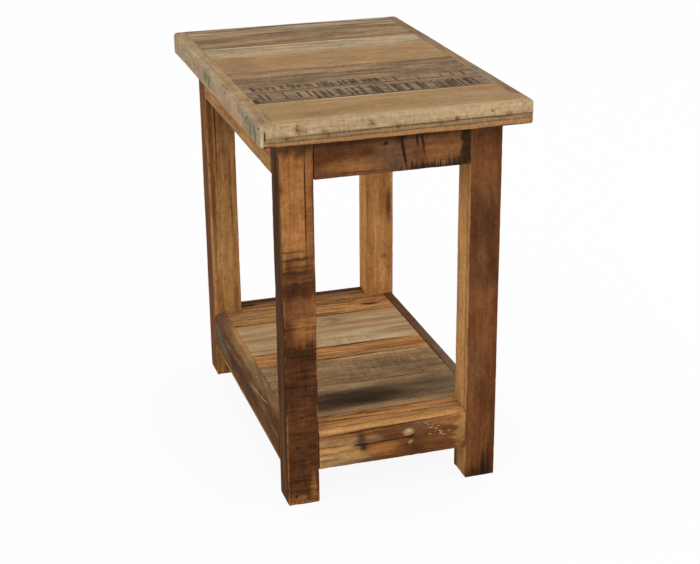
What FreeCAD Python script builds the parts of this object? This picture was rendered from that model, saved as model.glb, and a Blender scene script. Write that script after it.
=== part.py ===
import FreeCAD, Part
import os
from types import SimpleNamespace

import Sketcher

# Rustic side table: a plank top and a plank shelf on a mortised leg frame.
# Lengths are millimetres. The origin is the middle of the table on the floor,
# +X is its right, +Y its back and +Z up.

# Driving sizes, one cell each. Names that end in share are fractions of the
# length they divide.
DRIVING_SIZES = {
    # the whole table
    "top_width": 400,
    "top_depth": 610,
    "table_height": 610,
    "top_overhang": 33,
    # the top: its back board, by how far it covers its cleat, its front board, and how the
    # others share what is between
    "top_thickness": 35,
    "border_width": 20,
    "top_back_board_cover": 12.3,
    "top_front_board_width": 105,
    "top_seam_2_share": 0.193,
    "top_seam_3_share": 0.347,
    "top_seam_4_share": 0.58,
    "top_seam_5_share": 0.859,
    "top_tongue_thickness": 9,
    "top_tongue_length": 8,
    "border_groove_stop": 30,
    "top_corner_radius": 6,
    "top_upper_radius": 4.5,
    "top_lower_radius": 3,
    # the legs
    "leg_side": 50,
    "leg_arris_radius": 3,
    "foot_bevel": 2.5,
    # the aprons under the top and the rails round the shelf
    "apron_depth": 62,
    "apron_thickness": 20,
    "rail_bottom": 55,
    "shelf_height": 119,
    "rail_thickness": 20,
    "rail_upper_radius": 4,
    "frame_arris_radius": 1.5,
    # the mortise and tenon joints
    "tenon_length": 30,
    "tenon_thickness": 9,
    "tenon_setback": 5.5,
    "tenon_shoulder": 9,
    "tenon_haunch": 14,
    # the shelf boards
    "shelf_board_thickness": 20,
    "shelf_seam_1_share": 0.153,
    "shelf_seam_2_share": 0.439,
    "shelf_seam_3_share": 0.554,
    "shelf_seam_4_share": 0.775,
    "shelf_tongue_thickness": 6,
    "shelf_tongue_length": 6,
    # the cleats and their screws
    "cleat_side": 20,
    "screw_head_radius": 4,
    "screw_head_height": 3,
    "screw_shank_radius": 2,
    "screw_length": 28,
    "screw_point_bevel": 1.2,
    "counterbore_depth": 4.5,
    "short_cleat_screw_inset": 6,
    "short_cleat_board_screw_share": 0.2,
    "short_cleat_frame_screw_share": 0.36,
    # fits
    "seam_arris": 0.8,
    "joint_clearance": 0.2,
    "board_clearance": 0.3,
    "screw_clearance": 0.15,
    "cut_overrun": 2,
}

# Screws and their holes are drawn with this many flats, which keeps them light.
SCREW_FLATS = 8
# Two places closer than this are the same place.
SAME_PLACE = 1e-5

doc = FreeCAD.newDocument("SideTable")


def fill_sheet(sizes):
    """Write each size in its own cell and give the cell its name."""
    sheet = doc.addObject("Spreadsheet::Sheet", "Sizes")
    for row, (alias, size) in enumerate(sizes.items(), 1):
        sheet.set(f"A{row}", alias)
        sheet.set(f"B{row}", str(size))
        sheet.setAlias(f"B{row}", alias)
    doc.recompute()
    return sheet


sheet = fill_sheet(DRIVING_SIZES)
s = SimpleNamespace(**{alias: f"Sizes.{alias}" for alias in DRIVING_SIZES})

# Lengths worked out from the driving sizes.
base_width = f"({s.top_width} - 2 * {s.top_overhang})"
base_depth = f"({s.top_depth} - 2 * {s.top_overhang})"
leg_height = f"({s.table_height} - {s.top_thickness})"
span_across = f"({base_width} - 2 * {s.leg_side})"
span_along = f"({base_depth} - 2 * {s.leg_side})"
rail_height = f"({s.shelf_height} - {s.rail_bottom})"
apron_bottom = f"({leg_height} - {s.apron_depth})"
top_tongue_low = f"(({s.top_thickness} - {s.top_tongue_thickness}) / 2)"
shelf_tongue_low = f"(({s.shelf_board_thickness} - {s.shelf_tongue_thickness}) / 2)"
shelf_underside = f"({s.shelf_height} - {s.shelf_board_thickness})"
head_recess = f"({s.counterbore_depth} - {s.screw_head_height})"


def value(expression):
    """Present value of an expression on the sheet."""
    return float(sheet.evalExpression(expression))


# Small tools for sketches, features and places.

def new_body(label):
    body = doc.addObject("PartDesign::Body", label)
    body.Label = label
    return body


def sketch_on(body, name, role, lift="0"):
    """Empty sketch on one of the body's own planes, lifted along its normal."""
    plane = next(item for item in body.Origin.OriginFeatures if item.Role == role)
    sketch = body.newObject("Sketcher::SketchObject", f"{body.Label}_{name}")
    sketch.AttachmentSupport = [(plane, "")]
    sketch.MapMode = "FlatFace"
    if lift != "0":
        sketch.setExpression("AttachmentOffset.Base.z", lift)
    return sketch


def outline(sketch, corners):
    """Closed outline of straight lines, each corner tied to its two expressions."""
    points = [FreeCAD.Vector(value(across), value(up), 0) for across, up in corners]
    following = points[1:] + points[:1]
    first = sketch.GeometryCount
    sketch.addGeometry([Part.LineSegment(a, b) for a, b in zip(points, following)], False)
    lines = list(range(first, first + len(points)))
    fixed = [Sketcher.Constraint("Coincident", line, 2, after, 1)
             for line, after in zip(lines, lines[1:] + lines[:1])]
    driven = []
    for line, corner in zip(lines, corners):
        for kind, axis, expression in (("DistanceX", -2, corner[0]), ("DistanceY", -1, corner[1])):
            if expression == "0":
                fixed.append(Sketcher.Constraint("PointOnObject", line, 1, axis))
            else:
                held = Sketcher.Constraint(kind, -1, 1, line, 1, value(expression))
                driven.append((held, expression))
    numbers = sketch.addConstraint(fixed + [held for held, expression in driven])
    for number, (held, expression) in zip(numbers[len(fixed):], driven):
        sketch.setExpression(f"Constraints[{number}]", expression)


def rectangle(sketch, left, right, low, high):
    outline(sketch, [(left, low), (right, low), (right, high), (left, high)])


def pad(body, sketch, length):
    feature = body.newObject("PartDesign::Pad", f"{sketch.Label}_pad")
    feature.Profile = sketch
    feature.setExpression("Length", length)
    doc.recompute()
    return feature


def pocket(body, sketch, depth=None, towards_normal=False):
    """Cut a sketch into its body, through everything where no depth is given."""
    before = body.Shape.Volume
    feature = body.newObject("PartDesign::Pocket", f"{sketch.Label}_pocket")
    feature.Profile = sketch
    feature.Reversed = towards_normal
    if depth is None:
        feature.Type = "ThroughAll"
    else:
        feature.setExpression("Length", depth)
    doc.recompute()
    if not body.Shape.Volume < before:
        raise RuntimeError(f"{feature.Label} cut nothing")
    return feature


def edges_at(shape, **places):
    """Names of the edges that lie wholly at the given places, such as y=0."""
    names = []
    for number, edge in enumerate(shape.Edges, 1):
        box = edge.BoundBox
        spans = {"x": (box.XMin, box.XMax), "y": (box.YMin, box.YMax), "z": (box.ZMin, box.ZMax)}
        near = all(abs(end - place) < SAME_PLACE
                   for axis, place in places.items() for end in spans[axis])
        if near:
            names.append(f"Edge{number}")
    return names


def soften(body, kind, edges, size):
    """Round or bevel the named edges of a body."""
    base = body.Tip
    feature = body.newObject(f"PartDesign::{kind}", f"{body.Label}_{kind.lower()}_{base.Name}")
    feature.Base = (base, edges)
    feature.setExpression("Radius" if kind == "Fillet" else "Size", size)
    doc.recompute()
    return feature


def put(item, x, y, z, axis=(0, 0, 1), turn=0):
    """Turn a piece about an axis and tie its place to expressions."""
    item.Placement.Rotation = FreeCAD.Rotation(FreeCAD.Vector(*axis), turn)
    for name, expression in (("x", x), ("y", y), ("z", z)):
        if expression != "0":
            item.setExpression(f"Placement.Base.{name}", expression)


# The four sides of the table. Each holds the turn that brings a piece drawn for the
# front there, its direction from left to right seen from outside, and its outward one.
SIDES = {
    "front": {"turn": 0, "across": (1, 0), "out": (0, -1)},
    "right": {"turn": 90, "across": (0, 1), "out": (1, 0)},
    "back": {"turn": 180, "across": (-1, 0), "out": (0, 1)},
    "left": {"turn": 270, "across": (0, -1), "out": (-1, 0)},
}
# How far the outer face of the legs lies from the table's middle on each side.
half_base = {"front": f"{base_depth} / 2", "back": f"{base_depth} / 2",
             "left": f"{base_width} / 2", "right": f"{base_width} / 2"}


def place_on_side(item, side, start, outset, z):
    """Place a piece drawn along +X with its outer face at y = 0.

    start is how far its left end lies from the middle of the side, outset how
    far its outer face lies from the middle of the table.
    """
    across = SIDES[side]["across"]
    out = SIDES[side]["out"]
    x = f"({out[0]}) * ({outset}) - ({across[0]}) * ({start})"
    y = f"({out[1]}) * ({outset}) - ({across[1]}) * ({start})"
    put(item, x, y, z, turn=SIDES[side]["turn"])


# Boards from the back to the front, and the Y of the seams before, between and after them.
TOP_NAMES = ["top_board_back", "top_board_2", "top_board_3", "top_board_4", "top_board_5",
             "top_board_6", "top_board_front"]
top_back_seam = f"({base_depth} / 2 - {s.apron_thickness} - {s.top_back_board_cover})"
top_front_seam = f"({s.top_front_board_width} - {s.top_depth} / 2)"
top_seams = [f"({s.top_depth} / 2)", top_back_seam] + [
    f"({top_back_seam} - {share} * ({top_back_seam} - {top_front_seam}))"
    for share in (s.top_seam_2_share, s.top_seam_3_share, s.top_seam_4_share,
                  s.top_seam_5_share)] + [top_front_seam, f"(-{s.top_depth} / 2)"]
SHELF_NAMES = ["shelf_board_back", "shelf_board_2", "shelf_board_3", "shelf_board_4",
               "shelf_board_front"]
shelf_seams = [f"((0.5 - {share}) * {span_along})"
               for share in ("0", s.shelf_seam_1_share, s.shelf_seam_2_share,
                             s.shelf_seam_3_share, s.shelf_seam_4_share, "1")]


def middles(seams):
    """Y of the middle of each board between the seams."""
    return [f"(({back} + {front}) / 2)" for back, front in zip(seams, seams[1:])]


# The two levels that are made alike, each of boards on cleats inside a frame. A long
# cleat holds each of its boards in the middle and the frame at some of the seams.
FRAME_THICKNESS = {"top": s.apron_thickness, "shelf": s.rail_thickness}
BOARD_UNDERSIDE = {"top": leg_height, "shelf": shelf_underside}
LONG_CLEAT_SCREWS = {
    ("top", "boards"): middles(top_seams[1:-1]),
    ("top", "frame"): [top_seams[2], top_seams[4], top_seams[5]],
    ("shelf", "boards"): middles(shelf_seams),
    ("shelf", "frame"): [shelf_seams[1], shelf_seams[3], shelf_seams[4]]}
SHORT_CLEAT_SHARES = {"boards": s.short_cleat_board_screw_share,
                      "frame": s.short_cleat_frame_screw_share}


def screw_places(level, side, into):
    """Distances of a cleat's screws into the boards or the frame from its middle."""
    if side in ("front", "back"):
        place = f"(0.5 - {SHORT_CLEAT_SHARES[into]}) * {span_across}"
        return [f"-{place}", place]
    sign = "-" if side == "left" else ""
    return [f"{sign}{place}" for place in LONG_CLEAT_SCREWS[level, into]]


# Screws, and the cutter that makes room for one in all that it passes through.

def flat_sided(label, parts):
    """Body of upright prisms, each given by its radius, low end and high end."""
    body = new_body(label)
    for number, (radius, low, high) in enumerate(parts, 1):
        prism = body.newObject("PartDesign::AdditivePrism", f"{label}_{number}")
        prism.Polygon = SCREW_FLATS
        prism.setExpression("Circumradius", radius)
        prism.setExpression("Height", f"{high} - ({low})")
        prism.setExpression("Placement.Base.z", low)
        doc.recompute()
    return body


def build_screw():
    """Pan head screw that stands on its head at the origin, its point upwards."""
    tip = f"({s.screw_head_height} + {s.screw_length})"
    body = flat_sided("pan_head_screw", [(s.screw_head_radius, "0", s.screw_head_height),
                                         (s.screw_shank_radius, "0", tip)])
    soften(body, "Chamfer", edges_at(body.Shape, z=value(tip)), s.screw_point_bevel)
    return body


def build_hole_cutter():
    """Counterbore and shank hole for a screw at the origin."""
    mouth = f"(-{head_recess} - {s.cut_overrun})"
    tip = f"({s.screw_head_height} + {s.screw_length} + {s.joint_clearance})"
    return flat_sided("screw_hole", [
        (f"{s.screw_head_radius} + {s.screw_clearance}", mouth, s.screw_head_height),
        (f"{s.screw_shank_radius} + {s.screw_clearance}", "0", tip)])


OUTWARD_TURNS = {"front": ((1, 0, 0), 90), "back": ((1, 0, 0), -90),
                 "left": ((0, 1, 0), -90), "right": ((0, 1, 0), 90)}


def copies_at_screws(original, label, level, into):
    """Copies of a screw or hole cutter at every screw of one kind at one level."""
    copies = []
    for side in SIDES:
        across = SIDES[side]["across"]
        out = SIDES[side]["out"]
        frame_face = f"({half_base[side]} - {FRAME_THICKNESS[level]})"
        inset = s.short_cleat_screw_inset if side in ("front", "back") else f"{s.cleat_side} / 2"
        for number, along in enumerate(screw_places(level, side, into), 1):
            copy = doc.addObject("App::Link", f"{label}_{side}_{number}")
            copy.LinkedObject = original
            if into == "frame":
                reach = f"({frame_face} - {s.cleat_side} + {head_recess})"
                z = f"{BOARD_UNDERSIDE[level]} - {s.cleat_side} / 2"
                axis, turn = OUTWARD_TURNS[side]
            else:
                reach = f"({frame_face} - {inset})"
                z = f"{BOARD_UNDERSIDE[level]} - {s.cleat_side} + {head_recess}"
                axis, turn = ((0, 0, 1), 0)
            x = f"({out[0]}) * {reach} + ({across[0]}) * ({along})"
            y = f"({out[1]}) * {reach} + ({across[1]}) * ({along})"
            put(copy, x, y, z, axis, turn)
            copies.append(copy)
    doc.recompute()
    return copies


SCREW_KINDS = [("top_board_screws", "top", "boards"), ("top_cleat_screws", "top", "frame"),
               ("shelf_board_screws", "shelf", "boards"),
               ("shelf_cleat_screws", "shelf", "frame")]

nodes = []
hole_cutter = build_hole_cutter()
screw_holes = []
for label, level, into in SCREW_KINDS:
    screw_holes += copies_at_screws(hole_cutter, f"{label}_hole", level, into)


def keep(piece):
    """List a finished sub-part for the export."""
    nodes.append(piece)


def keep_drilled(label, blank):
    """Cut the holes of the screws that reach a blank, and keep what that gives."""
    doc.recompute()
    box = blank.Shape.BoundBox
    holes = [hole for hole in screw_holes if Part.getShape(hole).BoundBox.intersect(box)]
    drills = doc.addObject("Part::Compound", f"{label}_holes")
    drills.Links = holes
    piece = doc.addObject("Part::Cut", label)
    piece.Label = label
    piece.Base = blank
    piece.Tool = drills
    doc.recompute()
    if not piece.Shape.Volume < blank.Shape.Volume:
        raise RuntimeError(f"{label} got no screw hole")
    keep(piece)


def build_screw_groups():
    """Each kind of screw as one sub-part of separate solids."""
    screw = build_screw()
    for label, level, into in SCREW_KINDS:
        group = doc.addObject("Part::Compound", label)
        group.Label = label
        group.Links = copies_at_screws(screw, label, level, into)
        keep(group)


# Legs, all alike: drawn as the front left one and turned into each corner.

LEG_CORNERS = {"front_left": ("-1", "-1", 0), "front_right": ("1", "-1", 90),
               "back_right": ("1", "1", 180), "back_left": ("-1", "1", 270)}


def mortises(body, name, role, lift, towards_normal):
    """Mortise for the apron tenon above and the rail tenon below, in one face."""
    near = f"{s.tenon_setback} - {s.joint_clearance}"
    far = f"{s.tenon_setback} + {s.tenon_thickness} + {s.joint_clearance}"
    sketch = sketch_on(body, name, role, lift)
    rectangle(sketch, near, far,
              f"{s.rail_bottom} + {s.tenon_shoulder} - {s.joint_clearance}",
              f"{s.shelf_height} - {s.tenon_haunch} + {s.joint_clearance}")
    rectangle(sketch, near, far,
              f"{apron_bottom} + {s.tenon_shoulder} - {s.joint_clearance}",
              f"{leg_height} - {s.tenon_haunch} + {s.joint_clearance}")
    pocket(body, sketch, f"{s.tenon_length} + {s.joint_clearance}", towards_normal)


def build_leg(corner):
    side_x, side_y, turn = LEG_CORNERS[corner]
    body = new_body(f"leg_{corner}")
    section = sketch_on(body, "section", "XY_Plane")
    rectangle(section, "0", s.leg_side, "0", s.leg_side)
    pad(body, section, leg_height)
    mortises(body, "across_joints", "YZ_Plane", s.leg_side, False)
    mortises(body, "along_joints", "XZ_Plane", f"-{s.leg_side}", True)
    side = value(s.leg_side)
    arrises = []
    for x in (0, side):
        for y in (0, side):
            arrises += edges_at(body.Shape, x=x, y=y)
    soften(body, "Fillet", arrises, s.leg_arris_radius)
    soften(body, "Chamfer", edges_at(body.Shape, z=0), s.foot_bevel)
    put(body, f"{side_x} * {base_width} / 2", f"{side_y} * {base_depth} / 2", "0", turn=turn)
    keep(body)


# Aprons and rails: boards with a tenon on each end.

def build_tenoned_board(label, side, thickness, height, bottom, upper_radius):
    """Board between two legs, outer face at y = 0, tenons along X."""
    span = span_across if side in ("front", "back") else span_along
    shoulder_far = f"{s.tenon_length} + {span}"
    end = f"2 * {s.tenon_length} + {span}"
    cheek = f"{s.tenon_setback} + {s.tenon_thickness}"
    body = new_body(f"{label}_blank")
    plan = sketch_on(body, "plan", "XY_Plane")
    outline(plan, [
        (s.tenon_length, "0"), (shoulder_far, "0"),
        (shoulder_far, s.tenon_setback), (end, s.tenon_setback),
        (end, cheek), (shoulder_far, cheek),
        (shoulder_far, thickness), (s.tenon_length, thickness),
        (s.tenon_length, cheek), ("0", cheek),
        ("0", s.tenon_setback), (s.tenon_length, s.tenon_setback)])
    pad(body, plan, height)

    shoulders = sketch_on(body, "shoulders", "XZ_Plane")
    for left, right in ((f"-{s.cut_overrun}", s.tenon_length),
                        (shoulder_far, f"{end} + {s.cut_overrun}")):
        rectangle(shoulders, left, right, f"-{s.cut_overrun}", s.tenon_shoulder)
        rectangle(shoulders, left, right, f"{height} - {s.tenon_haunch}",
                  f"{height} + {s.cut_overrun}")
    pocket(body, shoulders)

    soften(body, "Fillet", edges_at(body.Shape, y=0, z=0), s.frame_arris_radius)
    soften(body, "Fillet", edges_at(body.Shape, y=0, z=value(height)), upper_radius)
    place_on_side(body, side, f"{span} / 2 + {s.tenon_length}", half_base[side], bottom)
    keep_drilled(label, body)


# Boards of the top and the shelf: tongued on the front edge, grooved on the back.

def board_section(width, thickness, tongue_low, tongue_thickness, tongue_length, tongued, grooved):
    """Corners of a board's section, front to the left, with its lower edge at 0."""
    front = tongue_length if tongued else "0"
    back = f"{front} + {width}"
    low = tongue_low
    high = f"{tongue_low} + {tongue_thickness}"
    corners = [(front, "0"), (back, "0")]
    if grooved:
        floor = f"{back} - {tongue_length} - {s.joint_clearance}"
        groove_low = f"{low} - {s.joint_clearance}"
        groove_high = f"{high} + {s.joint_clearance}"
        corners += [(back, groove_low), (floor, groove_low), (floor, groove_high),
                    (back, groove_high)]
    corners += [(back, thickness), (front, thickness)]
    if tongued:
        corners += [(front, high), ("0", high), ("0", low), (front, low)]
    return corners


top_field = f"({s.top_width} - 2 * {s.border_width})"
shelf_field = f"({base_width} - 2 * {s.rail_thickness} - 2 * {s.board_clearance})"


def build_top_board(number):
    """One board of the top, with tongues for the borders on its two ends."""
    is_back = number == 0
    is_front = number == len(TOP_NAMES) - 1
    width = f"({top_seams[number]} - {top_seams[number + 1]})"
    front = "0" if is_front else s.top_tongue_length
    back = f"({front} + {width})"
    end = f"({top_field} + 2 * {s.top_tongue_length})"
    body = new_body(f"{TOP_NAMES[number]}_blank")
    section = sketch_on(body, "section", "YZ_Plane")
    outline(section, board_section(width, s.top_thickness, top_tongue_low,
                                   s.top_tongue_thickness, s.top_tongue_length,
                                   not is_front, not is_back))
    pad(body, section, end)

    ends = ((f"-{s.cut_overrun}", s.top_tongue_length),
            (f"{s.top_tongue_length} + {top_field}", f"{end} + {s.cut_overrun}"))
    shoulders = sketch_on(body, "end_shoulders", "XZ_Plane")
    for left, right in ends:
        rectangle(shoulders, left, right, f"-{s.cut_overrun}", top_tongue_low)
        rectangle(shoulders, left, right, f"{top_tongue_low} + {s.top_tongue_thickness}",
                  f"{s.top_thickness} + {s.cut_overrun}")
    pocket(body, shoulders)
    if is_back or is_front:
        stops = sketch_on(body, "groove_stops", "XY_Plane")
        for left, right in ends:
            if is_front:
                rectangle(stops, left, right, f"-{s.cut_overrun}", s.border_groove_stop)
            else:
                rectangle(stops, left, right, f"{back} - {s.border_groove_stop}",
                          f"{back} + {s.cut_overrun}")
        pocket(body, stops, None, True)

    upper = value(s.top_thickness)
    front_y = value(front)
    back_y = value(back)
    if is_front:
        soften(body, "Fillet", edges_at(body.Shape, y=front_y, z=upper), s.top_upper_radius)
        soften(body, "Fillet", edges_at(body.Shape, y=front_y, z=0), s.top_lower_radius)
    else:
        soften(body, "Chamfer", edges_at(body.Shape, y=front_y, z=upper), s.seam_arris)
    if is_back:
        soften(body, "Fillet", edges_at(body.Shape, y=back_y, z=upper), s.top_upper_radius)
        soften(body, "Fillet", edges_at(body.Shape, y=back_y, z=0), s.top_lower_radius)
    else:
        soften(body, "Chamfer", edges_at(body.Shape, y=back_y, z=upper), s.seam_arris)
    put(body, f"-{end} / 2", f"{top_seams[number + 1]} - {front}", leg_height)
    keep_drilled(TOP_NAMES[number], body)


def build_border(side):
    """Border along one side of the top, grooved for the board ends."""
    body = new_body(f"top_border_{side}")
    plan = sketch_on(body, "plan", "XY_Plane")
    rectangle(plan, "0", s.border_width, "0", s.top_depth)
    pad(body, plan, s.top_thickness)
    groove = sketch_on(body, "groove", "YZ_Plane", s.border_width)
    stop = f"{s.border_groove_stop} - {s.joint_clearance}"
    rectangle(groove, stop, f"{s.top_depth} - {s.border_groove_stop} + {s.joint_clearance}",
              f"{top_tongue_low} - {s.joint_clearance}",
              f"{top_tongue_low} + {s.top_tongue_thickness} + {s.joint_clearance}")
    pocket(body, groove, f"{s.top_tongue_length} + {s.joint_clearance}")

    depth = value(s.top_depth)
    corners = edges_at(body.Shape, x=0, y=0) + edges_at(body.Shape, x=0, y=depth)
    soften(body, "Fillet", corners, s.top_corner_radius)
    inner = value(s.border_width)
    for level, radius in ((value(s.top_thickness), s.top_upper_radius), (0, s.top_lower_radius)):
        seam = edges_at(body.Shape, x=inner, z=level)
        outer = [name for name in edges_at(body.Shape, z=level) if name not in seam]
        soften(body, "Fillet", outer, radius)
    if side == "left":
        put(body, f"-{s.top_width} / 2", f"-{s.top_depth} / 2", leg_height)
    else:
        put(body, f"{s.top_width} / 2", f"{s.top_depth} / 2", leg_height, turn=180)
    keep(body)


def build_shelf_board(number):
    """One full board of the shelf, lying on the two long cleats."""
    is_back = number == 0
    is_front = number == len(SHELF_NAMES) - 1
    width = f"({shelf_seams[number]} - {shelf_seams[number + 1]})"
    front = "0" if is_front else s.shelf_tongue_length
    body = new_body(f"{SHELF_NAMES[number]}_blank")
    section = sketch_on(body, "section", "YZ_Plane")
    outline(section, board_section(width, s.shelf_board_thickness, shelf_tongue_low,
                                   s.shelf_tongue_thickness, s.shelf_tongue_length,
                                   not is_front, not is_back))
    pad(body, section, shelf_field)
    upper = value(s.shelf_board_thickness)
    seams = []
    for y in (value(front), value(f"{front} + {width}")):
        seams += edges_at(body.Shape, y=y, z=upper)
    soften(body, "Chamfer", seams, s.seam_arris)
    put(body, f"-{shelf_field} / 2", f"{shelf_seams[number + 1]} - {front}", shelf_underside)
    keep_drilled(SHELF_NAMES[number], body)


def build_shelf_strip(side):
    """Narrow board between two legs, behind the front or back rail."""
    length = f"({span_across} - 2 * {s.board_clearance})"
    depth = f"({s.leg_side} - {s.rail_thickness})"
    body = new_body(f"shelf_strip_{side}_blank")
    plan = sketch_on(body, "plan", "XY_Plane")
    rectangle(plan, "0", length, "0", depth)
    pad(body, plan, s.shelf_board_thickness)
    upper = value(s.shelf_board_thickness)
    seams = edges_at(body.Shape, y=0, z=upper) + edges_at(body.Shape, y=value(depth), z=upper)
    soften(body, "Chamfer", seams, s.seam_arris)
    place_on_side(body, side, f"{length} / 2", f"{half_base[side]} - {s.rail_thickness}",
                  shelf_underside)
    keep_drilled(f"shelf_strip_{side}", body)


# Cleats: square battens screwed to the inside of the frame and up into the boards.

def build_cleat(level, side):
    """Batten between two legs, its outer face at y = 0."""
    span = span_across if side in ("front", "back") else span_along
    length = f"({span} - 2 * {s.board_clearance})"
    batten = doc.addObject("Part::Box", f"{level}_cleat_{side}_blank")
    batten.setExpression("Length", length)
    batten.setExpression("Width", s.cleat_side)
    batten.setExpression("Height", s.cleat_side)
    place_on_side(batten, side, f"{length} / 2", f"{half_base[side]} - {FRAME_THICKNESS[level]}",
                  f"{BOARD_UNDERSIDE[level]} - {s.cleat_side}")
    doc.recompute()
    keep_drilled(f"{level}_cleat_{side}", batten)


# The whole table.

for corner in LEG_CORNERS:
    build_leg(corner)
for side in SIDES:
    build_tenoned_board(f"apron_{side}", side, s.apron_thickness, s.apron_depth,
                        apron_bottom, s.frame_arris_radius)
    build_tenoned_board(f"rail_{side}", side, s.rail_thickness, rail_height,
                        s.rail_bottom, s.rail_upper_radius)
for number in range(len(TOP_NAMES)):
    build_top_board(number)
for side in ("left", "right"):
    build_border(side)
for number in range(len(SHELF_NAMES)):
    build_shelf_board(number)
for side in ("front", "back"):
    build_shelf_strip(side)
for side in SIDES:
    build_cleat("top", side)
    build_cleat("shelf", side)
build_screw_groups()
doc.recompute()

# Nothing is written unless every object and every shape is sound.
for item in doc.Objects:
    faults = [state for state in item.State if state in ("Invalid", "Error")]
    if faults:
        raise RuntimeError(f"{item.Label}: {faults}")
for node in nodes:
    if node.Shape.isNull() or not node.Shape.isValid():
        raise RuntimeError(f"{node.Label}: bad shape")

os.makedirs("parts", exist_ok=True)
for node in nodes:
    node.Shape.exportStep(f"parts/{node.Label}.step")
print(f"{len(nodes)} sub-parts, {sum(len(node.Shape.Solids) for node in nodes)} solids")
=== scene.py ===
import math
import random
from collections import namedtuple

import bpy
from bpy.props import FloatProperty, FloatVectorProperty, PointerProperty
from mathutils import Color, Matrix, Vector, noise


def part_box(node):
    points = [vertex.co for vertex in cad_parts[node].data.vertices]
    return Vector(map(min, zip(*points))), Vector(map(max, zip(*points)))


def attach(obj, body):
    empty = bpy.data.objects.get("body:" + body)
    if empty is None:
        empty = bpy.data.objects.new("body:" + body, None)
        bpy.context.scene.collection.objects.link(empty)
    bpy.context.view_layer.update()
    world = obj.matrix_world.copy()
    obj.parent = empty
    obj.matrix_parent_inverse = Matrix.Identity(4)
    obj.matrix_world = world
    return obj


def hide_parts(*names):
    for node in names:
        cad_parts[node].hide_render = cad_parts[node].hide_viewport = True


bl_info = {
    "name": "Rustic side table",
    "version": (1, 0, 0),
    "blender": (4, 5, 0),
    "location": "View3D > Sidebar > Side Table",
    "description": "Dresses a plank side table in worn, reclaimed timber",
    "category": "Add Mesh",
}

# The frame: every piece sits where its CAD node is.
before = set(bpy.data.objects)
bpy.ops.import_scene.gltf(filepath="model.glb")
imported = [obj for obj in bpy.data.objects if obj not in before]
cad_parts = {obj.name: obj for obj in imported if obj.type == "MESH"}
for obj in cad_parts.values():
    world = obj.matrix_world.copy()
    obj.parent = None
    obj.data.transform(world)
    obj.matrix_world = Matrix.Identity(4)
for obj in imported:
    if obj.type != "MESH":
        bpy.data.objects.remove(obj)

MM = 0.001
AXES = "XYZ"
BODY = "root"
NEAR = 1e-5
WHITE = (1, 1, 1, 1)

# The camera is solved from the table's own edges in the photograph.
PHOTO_WIDTH = 700
FOCAL_PIXELS = 1522.6
SENSOR = 36


# Sizes and colours that a user would change.

def length(name, description, millimetres):
    return FloatProperty(name=name, description=description, default=millimetres * MM,
                         min=0, unit="LENGTH")


def tone(name, description, red, green, blue):
    """Colour as it is seen on a screen, given from 0 to 255."""
    return FloatVectorProperty(name=name, description=description, subtype="COLOR_GAMMA",
                               size=3, min=0, max=1, default=(red / 255, green / 255, blue / 255))


class TableSizes(bpy.types.PropertyGroup):
    grid: length("Grid", "Distance between the points of a worn face", 3.2)
    fine_grid: length("Fine grid", "The same distance across saw marks", 1.0)
    wave: length("Wave", "How far a sawn face lies under its flat", 0.5)
    leg_arris: length("Leg arris", "Rounding of the upright arrises of the legs", 2.0)
    foot_arris: length("Foot arris", "Rounding round the foot of a leg", 3.5)
    rail_arris: length("Rail arris", "Rounding of the upper outer arris of a rail", 6)
    board_arris: length("Board arris", "Rounding of the upper edges of a board at its seams", 0.4)
    rim_arris: length("Rim arris", "Rounding round the rim of the top", 5)
    arris_reach: length("Arris reach", "How far the wear of an arris spreads over a face", 7)
    arris_wear: length("Arris wear", "How deep the wear of an arris goes", 1.1)
    crack_width: length("Crack width", "Width of an open crack", 1.4)
    crack_depth: length("Crack depth", "Depth of an open crack", 1.2)
    gouge_depth: length("Gouge depth", "Depth of the deepest saw mark in the top", 0.9)
    nail_hole: length("Nail hole", "Diameter of the hole that a nail has left", 4)


class TableTones(bpy.types.PropertyGroup):
    pale: tone("Pale", "Bleached, greyish boards", 180, 158, 127)
    khaki: tone("Khaki", "Sanded, light brown boards", 164, 135, 99)
    tan: tone("Tan", "Warm, light boards", 162, 128, 88)
    honey: tone("Honey", "Yellow streaks", 188, 142, 82)
    straw: tone("Straw", "Clean inner faces of the legs", 208, 154, 94)
    brown: tone("Brown", "Weathered boards", 136, 109, 80)
    umber: tone("Umber", "Dark boards of the top", 112, 90, 69)
    orange: tone("Orange", "Clean faces of the legs", 164, 108, 60)
    chestnut: tone("Chestnut", "Brown faces of the frame", 126, 80, 46)
    rust: tone("Rust", "Red-brown faces of the legs", 92, 53, 29)
    walnut: tone("Walnut", "Darkest faces of the frame", 70, 45, 29)
    # Soot and bark also paint the shade inside the saw gouges.
    soot: tone("Soot", "Black stains, cracks and dust in hollows", 36, 26, 18)
    bark: tone("Bark", "Insides of the saw marks", 76, 60, 44)
    ash: tone("Ash", "Ground of the sawn boards", 146, 126, 102)
    ochre: tone("Ochre", "Darker clouds on the front board", 152, 122, 78)
    wheat: tone("Wheat", "Palest board of the shelf", 198, 165, 121)
    olive: tone("Olive", "Traces of old green paint", 128, 124, 98)
    rose: tone("Rose", "Pinkish patches on the rim", 168, 134, 112)
    slate: tone("Slate", "Grey weathering", 112, 101, 82)
    cream: tone("Cream", "Bare fresh wood and flecks of old paint", 214, 190, 150)
    steel: tone("Steel", "Screws", 150, 150, 148)
    floor: tone("Floor", "Floor and backdrop", 246, 246, 246)


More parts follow.
